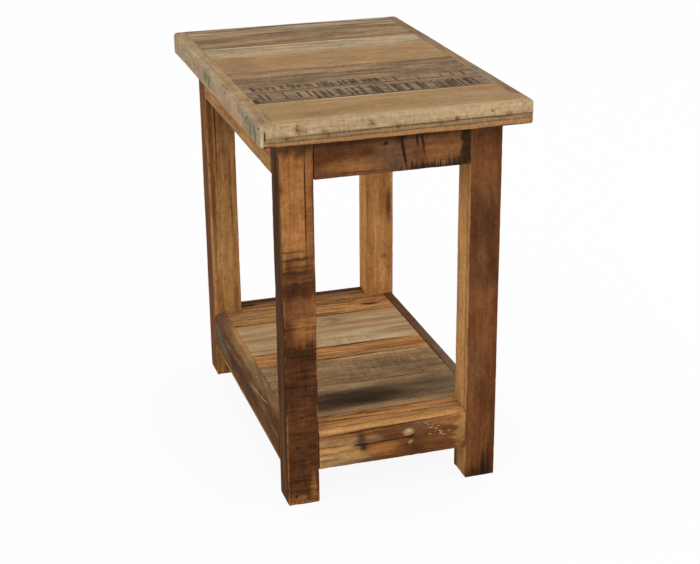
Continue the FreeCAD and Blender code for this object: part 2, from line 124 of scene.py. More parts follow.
class TableView(bpy.types.PropertyGroup):
    focal: FloatProperty(name="Focal length", description="Lens of the camera",
                         default=FOCAL_PIXELS * SENSOR / PHOTO_WIDTH, unit="CAMERA")
    azimuth: FloatProperty(name="Azimuth", description="Turn of the camera about the table",
                           default=math.radians(-16.946), subtype="ANGLE")
    elevation: FloatProperty(name="Elevation", description="Tilt of the camera down",
                             default=math.radians(21.668), subtype="ANGLE")
    roll: FloatProperty(name="Roll", description="Roll of the camera",
                        default=math.radians(-0.623), subtype="ANGLE")
    place: FloatVectorProperty(name="Place", description="Place of the camera", size=3,
                               default=(-0.6623, -2.2276, 1.1665), subtype="XYZ", unit="LENGTH")
    key_power: FloatProperty(name="Key light", description="Power of the large front light",
                             default=10, min=0, unit="POWER")
    side_power: FloatProperty(name="Side light", description="Power of the light on the right",
                              default=4, min=0, unit="POWER")
    sky: FloatProperty(name="Sky", description="Strength of the light from all round",
                       default=0.96, min=0)


def sizes():
    return bpy.context.scene.table_sizes


def tones():
    return bpy.context.scene.table_tones


def linear(name):
    """A named tone as shader colour."""
    red, green, blue = Color(getattr(tones(), name)).from_srgb_to_scene_linear()
    return (red, green, blue, 1)


# Shader maths written as Python sums.

class Value:
    """Output of a shader node that takes part in sums."""

    def __init__(self, shader, socket):
        self.shader = shader
        self.socket = socket

    def __add__(self, other):
        return self.shader.math("ADD", self, other)

    def __sub__(self, other):
        return self.shader.math("SUBTRACT", self, other)

    def __rsub__(self, other):
        return self.shader.math("SUBTRACT", other, self)

    def __mul__(self, other):
        return self.shader.math("MULTIPLY", self, other)

    def __truediv__(self, other):
        return self.shader.math("DIVIDE", self, other)

    __radd__ = __add__
    __rmul__ = __mul__


class Shader:
    """Nodes of a material or of the world, and the few patterns that the finishes need."""

    def __init__(self, owner):
        owner.use_nodes = True
        self.owner = owner
        self.tree = owner.node_tree

    def node(self, kind, settings=None, inputs=None, output=0):
        """Add a node, set it up, feed its sockets and give one of its outputs."""
        made = self.tree.nodes.new(kind)
        for name, setting in (settings or {}).items():
            setattr(made, name, setting)
        self.feed(made, inputs or {})
        return Value(self, made.outputs[output])

    def feed(self, node, inputs):
        """Give sockets of a node their values or links."""
        for name, fed in inputs.items():
            if isinstance(fed, Value):
                self.tree.links.new(fed.socket, node.inputs[name])
            else:
                node.inputs[name].default_value = fed

    def outputs(self, made):
        """All outputs, by name, of the node that a value comes from."""
        return {socket.name: Value(self, socket) for socket in made.socket.node.outputs}

    def place(self):
        """Place on the table, in millimetres."""
        return self.scaled(self.node("ShaderNodeTexCoord", output="Object"), 1 / MM)

    def vector(self, operation, first, second=(0, 0, 0), output=0):
        return self.node("ShaderNodeVectorMath", {"operation": operation},
                         {0: first, 1: second}, output)

    def scaled(self, vector, factor):
        return self.node("ShaderNodeVectorMath", {"operation": "SCALE"},
                         {0: vector, "Scale": factor})

    def distance(self, vector):
        """Length of a vector."""
        return self.vector("DISTANCE", vector, output="Value")

    def parts(self, vector):
        return self.outputs(self.node("ShaderNodeSeparateXYZ", inputs={0: vector})).values()

    def math(self, operation, first, second=0.0):
        return self.node("ShaderNodeMath", {"operation": operation}, {0: first, 1: second})

    def clouds(self, vector, detail, rough=0.5, output="Fac"):
        return self.node("ShaderNodeTexNoise", {"noise_dimensions": "3D"},
                         {"Vector": vector, "Scale": 1.0, "Detail": detail, "Roughness": rough},
                         output)

    def ease(self, value, low, high):
        """Smooth step from 0 to 1 while a value goes from low to high."""
        return self.node("ShaderNodeMapRange", {"interpolation_type": "SMOOTHSTEP"},
                         {"Value": value, "From Min": low, "From Max": high})

    def mix(self, share, first, second, blend="MIX"):
        return self.node("ShaderNodeMix", {"data_type": "RGBA", "blend_type": blend},
                         {0: share, 6: first, 7: second}, 2)

    def attribute(self, name):
        return self.node("ShaderNodeAttribute", {"attribute_name": name}, output="Fac")

    def bump(self, height, strength, depth):
        return self.node("ShaderNodeBump", inputs={"Height": height, "Strength": strength,
                                                   "Distance": depth})


# Marks on the timber, all in millimetres on the table. A stain is an ellipsoid that ragged
# noise pulls out along the grain. It may lean, by a shift for each millimetre of its length.
Stain = namedtuple("Stain", "at reach tone strength ragged soft lean", defaults=(0.8, 1, 0.6, None))
Knot = namedtuple("Knot", "at radius strength")
# Kerfs are saw lines across the grain, dark with pale ridges, in a block round a place.
Kerfs = namedtuple("Kerfs", "at reach pitch strength pale wide")
# Sawn colours the rows of gouges that are cut in the mesh, with painted shade inside them.
Sawn = namedtuple("Sawn", "strength pale")
# A crack runs along the grain at one place across it and on one face.
Crack = namedtuple("Crack", "across at start end face depth")
# A look is the timber of one piece: its tones, how strong its shading, rings and veins are,
# where the pith lies beside it, how pale its arrises are rubbed, how blotched it is, the seed
# of its noises, and its marks and cracks.
Look = namedtuple(
    "Look", "grain base dark tint contrast figure veins pith rub mottle seed marks cracks",
    defaults=(0.12, 0.8, 0, (), ()))


def face(axis, place):
    """Give the function that puts a mark on one face from its two places along the face."""
    def on_face(first, second):
        at = [first, second]
        at.insert(AXES.index(axis), place / MM)
        return tuple(at)

    return on_face


FRONT = face("Y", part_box("leg_front_left")[0].y)
BACK_LEGS = face("Y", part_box("leg_back_left")[0].y)
RIM = face("Y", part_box("top_board_front")[0].y)
SHELF = face("Z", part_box("shelf_board_2")[1].z)
TOP = face("Z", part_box("top_board_2")[1].z)


def marked(on_face, *rows):
    """Marks in the order in which they are laid. A plain row is a stain on the face: its two
    places there, and then its reach and the rest."""
    return tuple(Stain(on_face(*row[:2]), *row[2:]) if type(row) is tuple else row
                 for row in rows)


def along(grain, lengthwise, crosswise):
    """Three numbers: one for the axis of the grain and one for the two across it."""
    return tuple(lengthwise if axis == grain else crosswise for axis in AXES)


class Timber(Shader):
    """Material of one piece of timber, its figure running along the grain."""

    def __init__(self, name, look, middle):
        super().__init__(bpy.data.materials.new(name))
        self.look = look
        self.point = self.place()
        sway = self.streak(210, 55, 1, seed=9, place=self.point) - 0.5
        swing = self.scaled(along(look.grain, 0, 13), sway)
        self.flow = self.vector("ADD", self.point, swing)
        self.broad = self.streak(300, 34, 2, seed=1)
        self.band = self.streak(420, 9, 3, seed=2)
        self.lines = self.streak(130, 3.4, 3, 0.62, seed=6)
        self.fibre = self.streak(45, 1.3, 2, 0.6)
        self.mottle = self.clouds(self.scaled(self.point, 0.16), 4, 0.7)
        self.rings = self.growth_rings(middle)
        # Drift pulls a mark out along the grain, and crumbs break up the edge of a knot.
        spread = self.streak(55, 12, 3, seed=4, place=self.point, output="Color")
        self.drift = self.vector("MULTIPLY", self.centred(spread), along(look.grain, 60, 9))
        grains = self.clouds(self.scaled(self.point, 0.3), 2, output="Color")
        self.crumbs = self.scaled(self.centred(grains), 9)

    def centred(self, noise_colour):
        return self.vector("SUBTRACT", noise_colour, (0.5, 0.5, 0.5))

    def streak(self, long, short, detail, rough=0.5, seed=0, place=None, output="Fac"):
        """Noise drawn out along the grain into streaks of about this length and breadth."""
        seed += self.look.seed
        moved = self.vector("ADD", place or self.flow, (137 * seed, 71 * seed, 193 * seed))
        squeezed = self.vector("MULTIPLY", moved, along(self.look.grain, 1 / long, 1 / short))
        return self.clouds(squeezed, detail, rough, output)

    def growth_rings(self, middle):
        """Lines of growth round a pith that lies beside the board."""
        pith = list(middle)
        beside = [number for number, axis in enumerate(AXES) if axis != self.look.grain]
        for number, away in zip(beside, self.look.pith):
            pith[number] += away
        offset = self.vector("SUBTRACT", self.flow, tuple(pith))
        radial = self.vector("MULTIPLY", offset, along(self.look.grain, 0, 1))
        wander = self.streak(150, 26, 2, seed=3)
        phase = self.math("FRACT", (self.distance(radial) + wander * 46) / 6.5)
        return self.ease(phase, 0.25, 0.95) * self.ease(phase, 1.0, 0.9)

    def figured(self):
        """Colour of the clean wood: shading, patches, rings, veins and fine threads."""
        look = self.look
        shade = self.ease(self.broad * 0.8 + self.band * 1.2,
                          1 - look.contrast * 0.42, 1 + look.contrast * 0.58)
        colour = self.mix(shade, linear(look.base), linear(look.dark))
        patch = self.ease(self.streak(170, 28, 3, seed=5), 0.50, 0.62)
        colour = self.mix(patch * 0.6, colour, linear(look.tint))
        colour = self.mix(self.rings * look.figure, colour, linear(look.dark), "MULTIPLY")
        vein = (self.ease(self.streak(240, 3.6, 2, 0.6, seed=10), 0.56, 0.64)
                * self.ease(self.band, 0.42, 0.58))
        colour = self.mix(vein * look.veins, colour, linear("walnut"))
        ripple = self.math("ABSOLUTE", self.streak(330, 11, 2, seed=12) - 0.5)
        thread = self.ease(ripple, 0.016, 0.003) * self.ease(self.broad, 0.42, 0.54)
        return self.mix(thread * min(1.2 * look.veins, 1), colour, linear("walnut"))

    def within(self, at, reach, pull, lean=None):
        """Place within a mark that noise pulls about. The mark's edge is at a distance of 1."""
        inside = self.vector("SUBTRACT", self.vector("ADD", self.point, pull), at)
        if lean:
            lengthwise = list(self.parts(inside))[reach.index(max(reach))]
            inside = self.vector("SUBTRACT", inside, self.scaled(lean, lengthwise))
        return self.vector("MULTIPLY", inside, tuple(1 / width for width in reach))

    # Each kind of mark gives the colour with the mark on it, and how deep it is cut, if it is.

    def stained(self, colour, mark):
        pull = self.scaled(self.drift, mark.ragged)
        inside = self.within(mark.at, mark.reach, pull, mark.lean)
        share = self.ease(self.distance(inside), 1 + mark.soft, max(1 - mark.soft, 0))
        return self.mix(share * mark.strength, colour, linear(mark.tone)), None

    def knotted(self, colour, mark):
        """A brown rim round a dark core that is broken up."""
        inside = self.within(mark.at, (mark.radius,) * 3, self.scaled(self.crumbs, 0.8))
        turns = self.distance(inside)
        broken = self.ease(self.clouds(self.scaled(self.point, 0.5), 3, 0.6), 0.38, 0.6)
        rim = self.ease(turns, 1.7, 0.4) * (0.3 + 0.4 * broken) * mark.strength
        core = self.ease(turns, 1.0, 0.3) * broken * mark.strength
        colour = self.mix(rim, colour, linear("chestnut"))
        return self.mix(core * 0.9, colour, linear("walnut")), core

    def kerfed(self, colour, mark):
        """Saw lines across the grain, dark with pale ridges."""
        inside = self.within(mark.at, mark.reach, self.scaled(self.drift, 0.4))
        x, y, z = self.parts(self.vector("ABSOLUTE", inside))
        block = self.ease(self.math("MAXIMUM", self.math("MAXIMUM", x, y), z), 1.1, 0.75)
        saw = self.streak(mark.pitch, mark.wide, 4, 0.68, seed=7, place=self.point)
        skip = self.streak(mark.pitch * 5, mark.wide * 0.65, 3, seed=8, place=self.point)
        share = block * self.ease(skip, 0.34, 0.56)
        cut = share * self.ease(saw, 0.49, 0.6)
        ridge = share * self.ease(saw, 0.45, 0.36)
        colour = self.mix(cut * mark.strength, colour, linear("soot"))
        return self.mix(ridge * mark.pale, colour, linear("cream")), cut

    def gouged(self, colour, mark):
        """Rows of gouges, dark within with painted shade, and pale on the ridges beside them."""
        crumbled = self.clouds(self.scaled(self.point, 0.26), 4, 0.7)
        uneven = self.clouds(self.scaled(self.point, 0.06), 2)
        depth = self.attribute("sawn") + (crumbled - 0.5) * 2.6 + (uneven - 0.5) * 1.2
        groove = self.ease(depth, -0.4, 0.9)
        core = self.ease(depth, 0.5, 1.3)
        ridge = self.ease(depth, -1.0, -0.7) * self.ease(depth, -0.3, -0.55)
        # Painted shade in the gouges: bark over each groove and soot in its core.
        colour = self.mix(groove * mark.strength, colour, linear("bark"))
        colour = self.mix(core * 0.5, colour, linear("soot"))
        return self.mix(ridge * mark.pale, colour, linear("cream")), groove

    def gritty(self, colour):
        """Colour with the fine lines, mottling and specks that run over wood and marks alike."""
        blotch = self.streak(46, 17, 3, 0.6, seed=11)
        uneven = (self.mottle - 0.5) * 0.9 + (blotch - 0.5) * 0.8
        grit = (1 + (self.lines - 0.5) * 0.6 + (self.fibre - 0.5) * 0.45
                + uneven * self.look.mottle)
        speck = self.ease(self.streak(5, 2.1, 1, place=self.point), 0.68, 0.74)
        return self.mix(speck * 0.5, self.scaled(colour, grit), linear("soot"))

    def aged(self, colour):
        """Colour and roughness with rubbed arrises, dirt beside them and grime in hollows."""
        worn = self.attribute("worn") * 0.8
        chips = (self.streak(30, 7, 3, 0.65, seed=13, place=self.point) - 0.5) * 2.2
        rub = self.ease(worn + chips, 0.6, 0.95)
        dirt = self.ease(worn - chips, 0.65, 1.0)
        colour = self.mix(rub * self.look.rub, colour, linear("orange"))
        colour = self.mix(dirt * 0.3, colour, linear("soot"))
        fade = self.ease(self.streak(60, 30, 2, seed=15), 0.4, 0.6)
        hollow = self.attribute("hollow") * (0.4 + 0.7 * fade)
        grime = self.ease(hollow + (self.lines - 0.5) * 0.5, 0.12, 0.8)
        rough = 0.66 + self.fibre * 0.16 + grime * 0.16 - rub * 0.08
        return self.mix(grime * 0.86, colour, linear("soot")), rough


def timber(name, look, middle):
    """Material of a piece of timber with the look and the middle given."""
    wood = Timber(name, look, middle)
    layers = {Stain: wood.stained, Knot: wood.knotted, Kerfs: wood.kerfed, Sawn: wood.gouged}
    colour = wood.figured()
    height = wood.fibre * 0.4 + wood.lines * 0.5 + wood.rings * 0.2 + wood.mottle * 0.4
    for mark in look.marks:
        colour, cut = layers[type(mark)](colour, mark)
        if cut:
            height = height - cut * 0.9
    colour, rough = wood.aged(wood.gritty(colour))
    wood.feed(wood.tree.nodes["Principled BSDF"], {
        "Base Color": colour, "Roughness": rough, "Specular IOR Level": 0.02,
        "Normal": wood.bump(height, 0.6, 0.7 * MM)})
    return wood.owner


# Timber made by hand: a squared length, rounded, divided and worn.

# What one piece is made to: the node that it stands for, its look and corners, the edges that
# are rounded, its slot, the faces that join others, how wavy it is, the spacing of its points
# and its saw marks.
Plan = namedtuple("Plan", "node look low high rounds slot joined wave grid gouges",
                  defaults=(1, None, ()))


# Worn faces: length and breadth of their waves, size of their nicks, and the deepest wear.
WAVE_LENGTH = 120 * MM
WAVE_BREADTH = 16 * MM
NICK = 11 * MM
DEEPEST = 3 * MM
# Points this near to a face or to a crack's line count as lying on it.
ON_FACE = 2 * MM
ON_LINE = 0.02 * MM


def only(piece):
    """Make one object the selected and active one."""
    bpy.ops.object.select_all(action="DESELECT")
    piece.select_set(True)
    bpy.context.view_layer.objects.active = piece


def pick_edges(piece, wanted):
    """Select the edges that pass a test, given their two ends, and open edit mode."""
    mesh = piece.data
    bpy.ops.object.mode_set(mode="EDIT")
    bpy.ops.mesh.select_mode(type="EDGE")
    bpy.ops.mesh.select_all(action="DESELECT")
    bpy.ops.object.mode_set(mode="OBJECT")
    points = [vertex.co.copy() for vertex in mesh.vertices]
    picked = 0
    for edge in mesh.edges:
        edge.select = wanted(points[edge.vertices[0]], points[edge.vertices[1]])
        picked += edge.select
    bpy.ops.object.mode_set(mode="EDIT")
    return picked


def squared(name, low, high):
    """Block of timber between two corners."""
    bpy.ops.object.select_all(action="DESELECT")
    bpy.ops.mesh.primitive_cube_add(size=1, location=(low + high) / 2, scale=high - low)
    piece = bpy.context.object
    piece.name = piece.data.name = name
    bpy.ops.object.transform_apply(location=True, rotation=True, scale=True)
    return piece


def divide(piece, axis, spacing):
    """Cut all faces across one axis, evenly, to about the spacing given, in two rounds."""
    def runs_along(first, second):
        span = second - first
        return abs(span[axis]) > 1.5 * spacing and span.length < abs(span[axis]) * 1.01

    points = piece.data.vertices
    longest = max(abs((points[first].co - points[second].co)[axis])
                  for first, second in (edge.vertices for edge in piece.data.edges))
    count = max(1, round(longest / spacing))
    first_round = round(math.sqrt(count))
    for parts in (first_round, round(count / first_round)):
        if parts > 1 and pick_edges(piece, runs_along):
            bpy.ops.mesh.subdivide(number_cuts=parts - 1)
    bpy.ops.object.mode_set(mode="OBJECT")


def cut_line(piece, axis, at):
    """Add a line of points round the piece where one coordinate has a value."""
    bpy.ops.object.mode_set(mode="EDIT")
    bpy.ops.mesh.select_all(action="SELECT")
    bpy.ops.mesh.bisect(plane_co=along(axis, at, 0), plane_no=along(axis, 1, 0))
    bpy.ops.object.mode_set(mode="OBJECT")


def round_arrises(piece, rounds):
    """Round the edges that pass a test, each kind to its radius and number of faces."""
    for wanted, radius, segments in rounds:
        if not pick_edges(piece, wanted):
            raise RuntimeError(f"{piece.name} has no edge to round there")
        bpy.ops.mesh.bevel(offset=radius, segments=segments, affect="EDGES")
        bpy.ops.object.mode_set(mode="OBJECT")


def smoother(value):
    value = min(max(value, 0.0), 1.0)
    return value * value * (3 - 2 * value)


def arris_share(point, plan, reach):
    """1 on an arris, down to 0 at the reach from it. Faces that are joined don't count."""
    gaps = []
    for axis, letter in enumerate(AXES):
        sides = [reach * 2]
        if f"-{letter}" not in plan.joined:
            sides.append(point[axis] - plan.low[axis])
        if f"+{letter}" not in plan.joined:
            sides.append(plan.high[axis] - point[axis])
        gaps.append(min(sides))
    return smoother(1 - sorted(gaps)[1] / reach)


def crack_share(point, crack, plan):
    """Depth of a crack at a point, about 1 at its deepest."""
    face_axis = AXES.index(crack.face[1])
    surface = plan.high[face_axis] if crack.face[0] == "+" else plan.low[face_axis]
    under = abs(point[face_axis] - surface) > ON_FACE
    beside = abs(point[AXES.index(crack.across)] - crack.at * MM) > ON_LINE
    here = point[AXES.index(plan.look.grain)] / MM
    if under or beside or not crack.start < here < crack.end:
        return 0
    share = (here - crack.start) / (crack.end - crack.start)
    taper = smoother(min(share, 1 - share) * 6)
    return taper * crack.depth * (0.7 + 0.5 * noise.noise(Vector((here / 14, crack.at, 3))))


def worn_at(point, plan, size):
    """How rubbed, cracked and sawn a point is, and how deep it is worn."""
    look = plan.look
    seed = Vector((look.seed * 7.3, look.seed * 3.1, look.seed * 5.7))
    squeeze = along(look.grain, 1 / WAVE_LENGTH, 1 / WAVE_BREADTH)
    squeezed = Vector([place * factor for place, factor in zip(point, squeeze)])
    surface = 0.5 + 0.5 * noise.noise(squeezed + seed)
    rub = arris_share(point, plan, size.arris_reach)
    nick = max(0.0, noise.noise(point / NICK + seed)) ** 1.5
    cracks = [crack_share(point, crack, plan) for crack in look.cracks]
    saws = [gouge_share(point, gouge, plan.high.z) for gouge in plan.gouges]
    depth = surface * size.wave * plan.wave
    depth += rub * rub * size.arris_wear * (0.25 + 0.8 * nick + 0.4 * surface)
    depth += sum(cracks) * size.crack_depth
    depth += size.gouge_depth * sum(smoother(saw) * gouge.depth
                                    for saw, gouge in zip(saws, plan.gouges))
    return rub, min(max(cracks, default=0), 1), max(saws, default=-1), depth


def wear(piece, plan):
    """Paint how each point is worn, sink it, and keep the paint for the finish."""
    size = sizes()
    points = [worn_at(vertex.co, plan, size) for vertex in piece.data.vertices]
    rubs, cracks, saws, depths = zip(*points)
    for name, values in (("worn", rubs), ("hollow", cracks), ("sawn", saws)):
        made = piece.data.attributes.new(name, "FLOAT", "POINT")
        made.data.foreach_set("value", values)
    group = piece.vertex_groups.new(name="depth")
    for number, depth in enumerate(depths):
        group.add([number], min(depth / DEEPEST, 1), "REPLACE")
    only(piece)
    sink = piece.modifiers.new("Wear", "DISPLACE")
    sink.vertex_group = group.name
    sink.direction = "NORMAL"
    sink.mid_level = 0
    sink.strength = -DEEPEST
    bpy.ops.object.modifier_apply(modifier=sink.name)
    piece.vertex_groups.clear()


# Saw marks in the top: short gouges across the grain.
Gouge = namedtuple("Gouge", "x back front width depth")


def gouge_share(point, gouge, top):
    """Where a point lies by a gouge: 1 in its middle, 0 at its edge, down to -1 beyond it."""
    y = point.y / MM
    if top - point.z > ON_FACE or not gouge.front < y < gouge.back:
        return -1
    inward = min(y - gouge.front, gouge.back - y) / (2 * gouge.width)
    bend = 1.6 * noise.noise(Vector((gouge.x, y / 9, 0)))
    return max(-1, min(1 - abs(point.x / MM - gouge.x - bend) / gouge.width, inward))


def row_of_gouges(seed, start, end, back, front, pitch, widest):
    """Saw marks side by side along X, each of its own length, width and depth."""
    chance = random.Random(seed)
    gouges = []
    x = start
    while x < end:
        width = chance.uniform(1.2, widest)
        reach = (back - front) * chance.uniform(0.7, 1.0)
        foot = front + (back - front - reach) * chance.uniform(0, 0.6)
        gouges.append(Gouge(x, foot + reach, foot, width, chance.uniform(0.45, 1.0)))
        x += pitch * chance.uniform(0.5, 1.5)
    return gouges


def board(plan):
    """One finished piece of timber in place of its plain solid."""
    piece = squared(f"worn_{plan.node}", plan.low, plan.high)
    round_arrises(piece, plan.rounds)
    for axis, spacing in enumerate(plan.grid or (sizes().grid,) * 3):
        divide(piece, axis, spacing)
    half = sizes().crack_width / 2
    for crack in plan.look.cracks:
        for shift in (-half, 0, half):
            cut_line(piece, crack.across, crack.at * MM + shift)
    wear(piece, plan)
    only(piece)
    bpy.ops.object.shade_smooth_by_angle(angle=math.radians(40))
    middle = (plan.low + plan.high) / 2 / MM
    piece.data.materials.clear()
    piece.data.materials.append(timber(f"{piece.name}_timber", plan.look, middle))
    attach(piece, BODY)
    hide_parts(plan.node)
    return piece


# Tests that pick the edges to round.

def lying_at(axis, place):
    """Edges that lie wholly at one place along an axis."""
    number = AXES.index(axis)
    return lambda a, b: abs(a[number] - place) < NEAR and abs(b[number] - place) < NEAR


def both(first, second):
    """Edges that pass two tests."""
    return lambda a, b: first(a, b) and second(a, b)


def upright(a, b):
    """Edges that run up."""
    return abs(a.z - b.z) > 0.5 * (a - b).length


def crosswise(a, b):
    """Edges of level faces that run along X."""
    return abs(a.y - b.y) < NEAR


# Legs.

def front_left_leg():
    """Sawn across, clean above and dark below, with a crack near its right arris."""
    marks = marked(
        FRONT,
        (-144, 490, (40, 14, 120), "orange", 0.75, 0.8, 0.4),
        (-142, 180, (60, 14, 215), "rust", 0.95, 1.2, 0.18),
        (-142, 60, (60, 14, 90), "walnut", 0.12),
        (-142, 196, (60, 10, 22), "walnut", 0.6, 1, 0.7),
        (-131, 300, (22, 8, 26), "orange", 0.75),
        (-150, 318, (26, 8, 13), "chestnut", 0.8, 0.7),
        (-142, 246, (40, 8, 15), "soot", 0.5, 0.4),
        (-132, 276, (16, 8, 14), "orange", 0.3, 1, 0.7),
        (-138, 354, (40, 8, 12), "soot", 0.42, 0.4),
        (-150, 450, (18, 8, 50), "straw", 0.12),
        (-142, 330, (40, 8, 8), "chestnut", 0.5, 0.6),
        (-142, 377, (40, 8, 4), "walnut", 0.8, 0.08, 0.5, (0, 0, 0.02)),
        (-140, 386, (30, 8, 2.4), "rust", 0.7, 0.1, 0.6, (0, 0, 0.03)),
        (-138, 398, (34, 8, 2.6), "walnut", 0.85, 0.08, 0.5, (0, 0, 0.02)),
        (-150, 410, (20, 8, 1.6), "rust", 0.7, 0.08, 0.5),
        (-142, 365, (40, 8, 3), "chestnut", 0.6, 0.1, 0.5),
        (-123, 470, (8, 6, 100), "chestnut", 0.45, 0.8),
        # Partly dark brown wood, partly painted shade under the slab: the walnut band at the top of
        # the leg.
        (-134, 566, (40, 8, 14), "walnut", 0.85, 0.6),
        (-130.6, 478, (1.0, 5, 92), "soot", 0.85, 0.06, 0.5),
        (-118, 470, (2.5, 6, 120), "rust", 0.75, 0.2),
        (-153, 500, (1.2, 5, 60), "chestnut", 0.4, 0.1),
        Stain((-172, -247, 280), (6, 90, 1200), "walnut", 0.95, 0.02, 0.15),
        Stain((-171, -247, 470), (5, 22, 200), "soot", 0.6, 0.2, 0.5),
        (-127, 24, (5, 8, 26), "orange", 0.8, 0.5),
        (-146, 8, (22, 6, 8), "orange", 0.6, 0.6),
        (-154, 16, (2, 4, 2.5), "soot", 0.9, 0.1, 0.4),
        (-152, 99, (2, 4, 2.5), "soot", 0.7, 0.1, 0.4),
        Kerfs(FRONT(-142, 190), (40, 12, 235), 5, 0.35, 0.0, 50),
        Kerfs(FRONT(-142, 90), (40, 12, 110), 3, 0.3, 0.02, 20),
        Kerfs(FRONT(-142, 150), (44, 12, 190), 5, 0.5, 0.0, 140),
        Kerfs(FRONT(-142, 480), (40, 8, 80), 3.4, 0.16, 0.05, 18),
    )
    return Look("Z", "orange", "chestnut", "honey", contrast=0.5, figure=0.2, veins=0.4,
                pith=(40, 120), rub=0.75, mottle=1.1, seed=1, marks=marks,
                cracks=(Crack("X", -131, 390, 560, "-Y", 0.9),))


def front_right_leg():
    """Dark and clouded in front, clean on its inner face."""
    marks = marked(
        FRONT,
        (142, 300, (60, 14, 420), "rust", 0.4, 1, 0.4),
        (136, 430, (24, 10, 60), "walnut", 0.55, 1.4, 0.7),
        (152, 470, (12, 10, 26), "umber", 0.25, 1.4, 0.7),
        (134, 350, (14, 10, 40), "umber", 0.22, 1.4, 0.7),
        (150, 330, (14, 10, 30), "rust", 0.6, 1.4, 0.7),
        (142, 296, (26, 10, 26), "chestnut", 0.6, 1.4, 0.7),
        (136, 200, (16, 10, 36), "umber", 0.25, 1.4, 0.7),
        (150, 150, (12, 10, 40), "rust", 0.6, 1.4, 0.7),
        # Painted shade under the slab: the walnut patch at the top of the leg.
        (152, 556, (24, 10, 20), "walnut", 0.5),
        (142, 500, (30, 10, 40), "chestnut", 0.6),
        (150, 250, (14, 8, 60), "chestnut", 0.5, 1, 0.7),
        (162, 300, (4, 12, 330), "rust", 0.6, 0.3),
        (126, 120, (8, 8, 100), "chestnut", 0.4, 0.8, 0.7),
        Stain((112, -247, 290), (6.5, 90, 900), "straw", 0.95, 0.1, 0.2),
        Stain((116, -240, 505), (6, 40, 40), "chestnut", 0.6, 0.8, 0.7),
        Stain((117, -232, 300), (5, 4, 300), "tan", 0.5, 0.3),
        Stain((117, -224, 20), (9, 13, 30), "soot", 0.7, 0.6),
        Stain((117, -264, 300), (6, 4, 300), "chestnut", 0.5, 0.4, 0.7),
        (147, 12, (4, 6, 34), "soot", 0.85, 0.2),
        (155, 18, (3, 6, 40), "soot", 0.75, 0.2),
        (140, 4, (30, 8, 12), "soot", 0.6, 0.5, 0.7),
    )
    return Look("Z", "chestnut", "rust", "rust", contrast=0.45, figure=0.1, veins=0.3,
                pith=(60, 140), rub=0.25, mottle=1.2, seed=2, marks=marks)


def back_right_leg():
    """Clean, browner under the apron with painted shade, and with one knot."""
    marks = marked(
        BACK_LEGS,
        (157, 290, (4, 6, 26), "soot", 0.75, 0.3),
        (148, 330, (16, 6, 60), "chestnut", 0.6, 1, 0.7),
        Knot(BACK_LEGS(148, 192), 6, 0.7),
        # Painted shade under the apron: the browner band on the upper part of the leg.
        (142, 480, (40, 12, 80), "chestnut", 0.7),
        (125, 250, (6, 6, 200), "orange", 0.5, 0.6),
    )
    return Look("Z", "straw", "orange", "honey", contrast=0.6, figure=0.25, veins=0.2,
                pith=(70, 60), rub=0.1, mottle=1, seed=3, marks=marks)


def back_left_leg():
    """Clean in front and red-brown outside; red-brown under the apron too, with painted shade at
    its top.
    """
    marks = marked(
        BACK_LEGS,
        (-142, 440, (60, 12, 150), "chestnut", 0.4, 1.2),
        (-142, 520, (60, 12, 80), "rust", 0.4, 1.2),
        Stain((-172, 247, 290), (6, 90, 1200), "rust", 0.95, 0.02, 0.15),
        (-160, 380, (4, 6, 200), "rust", 0.7, 0.4),
        (-152, 470, (1.4, 5, 110), "soot", 0.75, 0.3),
        (-134, 330, (5, 6, 90), "chestnut", 0.5),
        (-146, 320, (8, 6, 60), "honey", 0.4, 1, 0.7),
        (-136, 210, (16, 6, 90), "honey", 0.5, 1, 0.7),
        # Painted shade under the slab and the apron: the walnut patch at the top of the leg.
        (-142, 548, (40, 12, 36), "walnut", 0.7, 1, 0.7),
        (-129, 340, (1.2, 5, 90), "walnut", 0.6, 0.4),
    )
    return Look("Z", "straw", "chestnut", "tan", contrast=0.5, figure=0.2, veins=0.12,
                pith=(30, 30), rub=0.15, mottle=1.2, seed=4, marks=marks)


def leg_looks():
    return {
        "front_left": front_left_leg(),
        "front_right": front_right_leg(),
        "back_right": back_right_leg(),
        "back_left": back_left_leg(),
    }


class TABLE_OT_legs(bpy.types.Operator):
    """Build the four legs"""
    bl_idname = "table.legs"
    bl_label = "Legs"

    def execute(self, context):
        size = sizes()
        for corner, look in leg_looks().items():
            node = f"leg_{corner}"
            low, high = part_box(node)
            rounds = [(upright, size.leg_arris, 3), (lying_at("Z", low.z), size.foot_arris, 3)]
            piece = board(Plan(node, look, low, high, rounds, "leg_wood", ("+Z",), wave=1.6))
            if corner == "front_left":
                drill_nail_hole(piece, low.y)
        return {"FINISHED"}


# Middle of the nail hole in the front of a leg, along X and Z.
NAIL_AT = (-143 * MM, 147 * MM)


def drill_nail_hole(piece, front):
    """Cut the round hole that a nail has left in the front of a leg."""
    bpy.ops.object.select_all(action="DESELECT")
    bpy.ops.mesh.primitive_cylinder_add(
        vertices=20, radius=sizes().nail_hole / 2, depth=2 * sizes().nail_hole,
        location=(NAIL_AT[0], front, NAIL_AT[1]), rotation=(math.pi / 2, 0, 0))
    drill = bpy.context.object
    bpy.ops.object.transform_apply(location=True, rotation=True, scale=True)
    only(piece)
    hole = piece.modifiers.new("Nail hole", "BOOLEAN")
    hole.operation = "DIFFERENCE"
    hole.solver = "EXACT"
    hole.object = drill
    bpy.ops.object.modifier_apply(modifier=hole.name)
    bpy.data.objects.remove(drill)


# Aprons and rails: the tenons stay in the CAD node, and the piece runs from leg to leg.

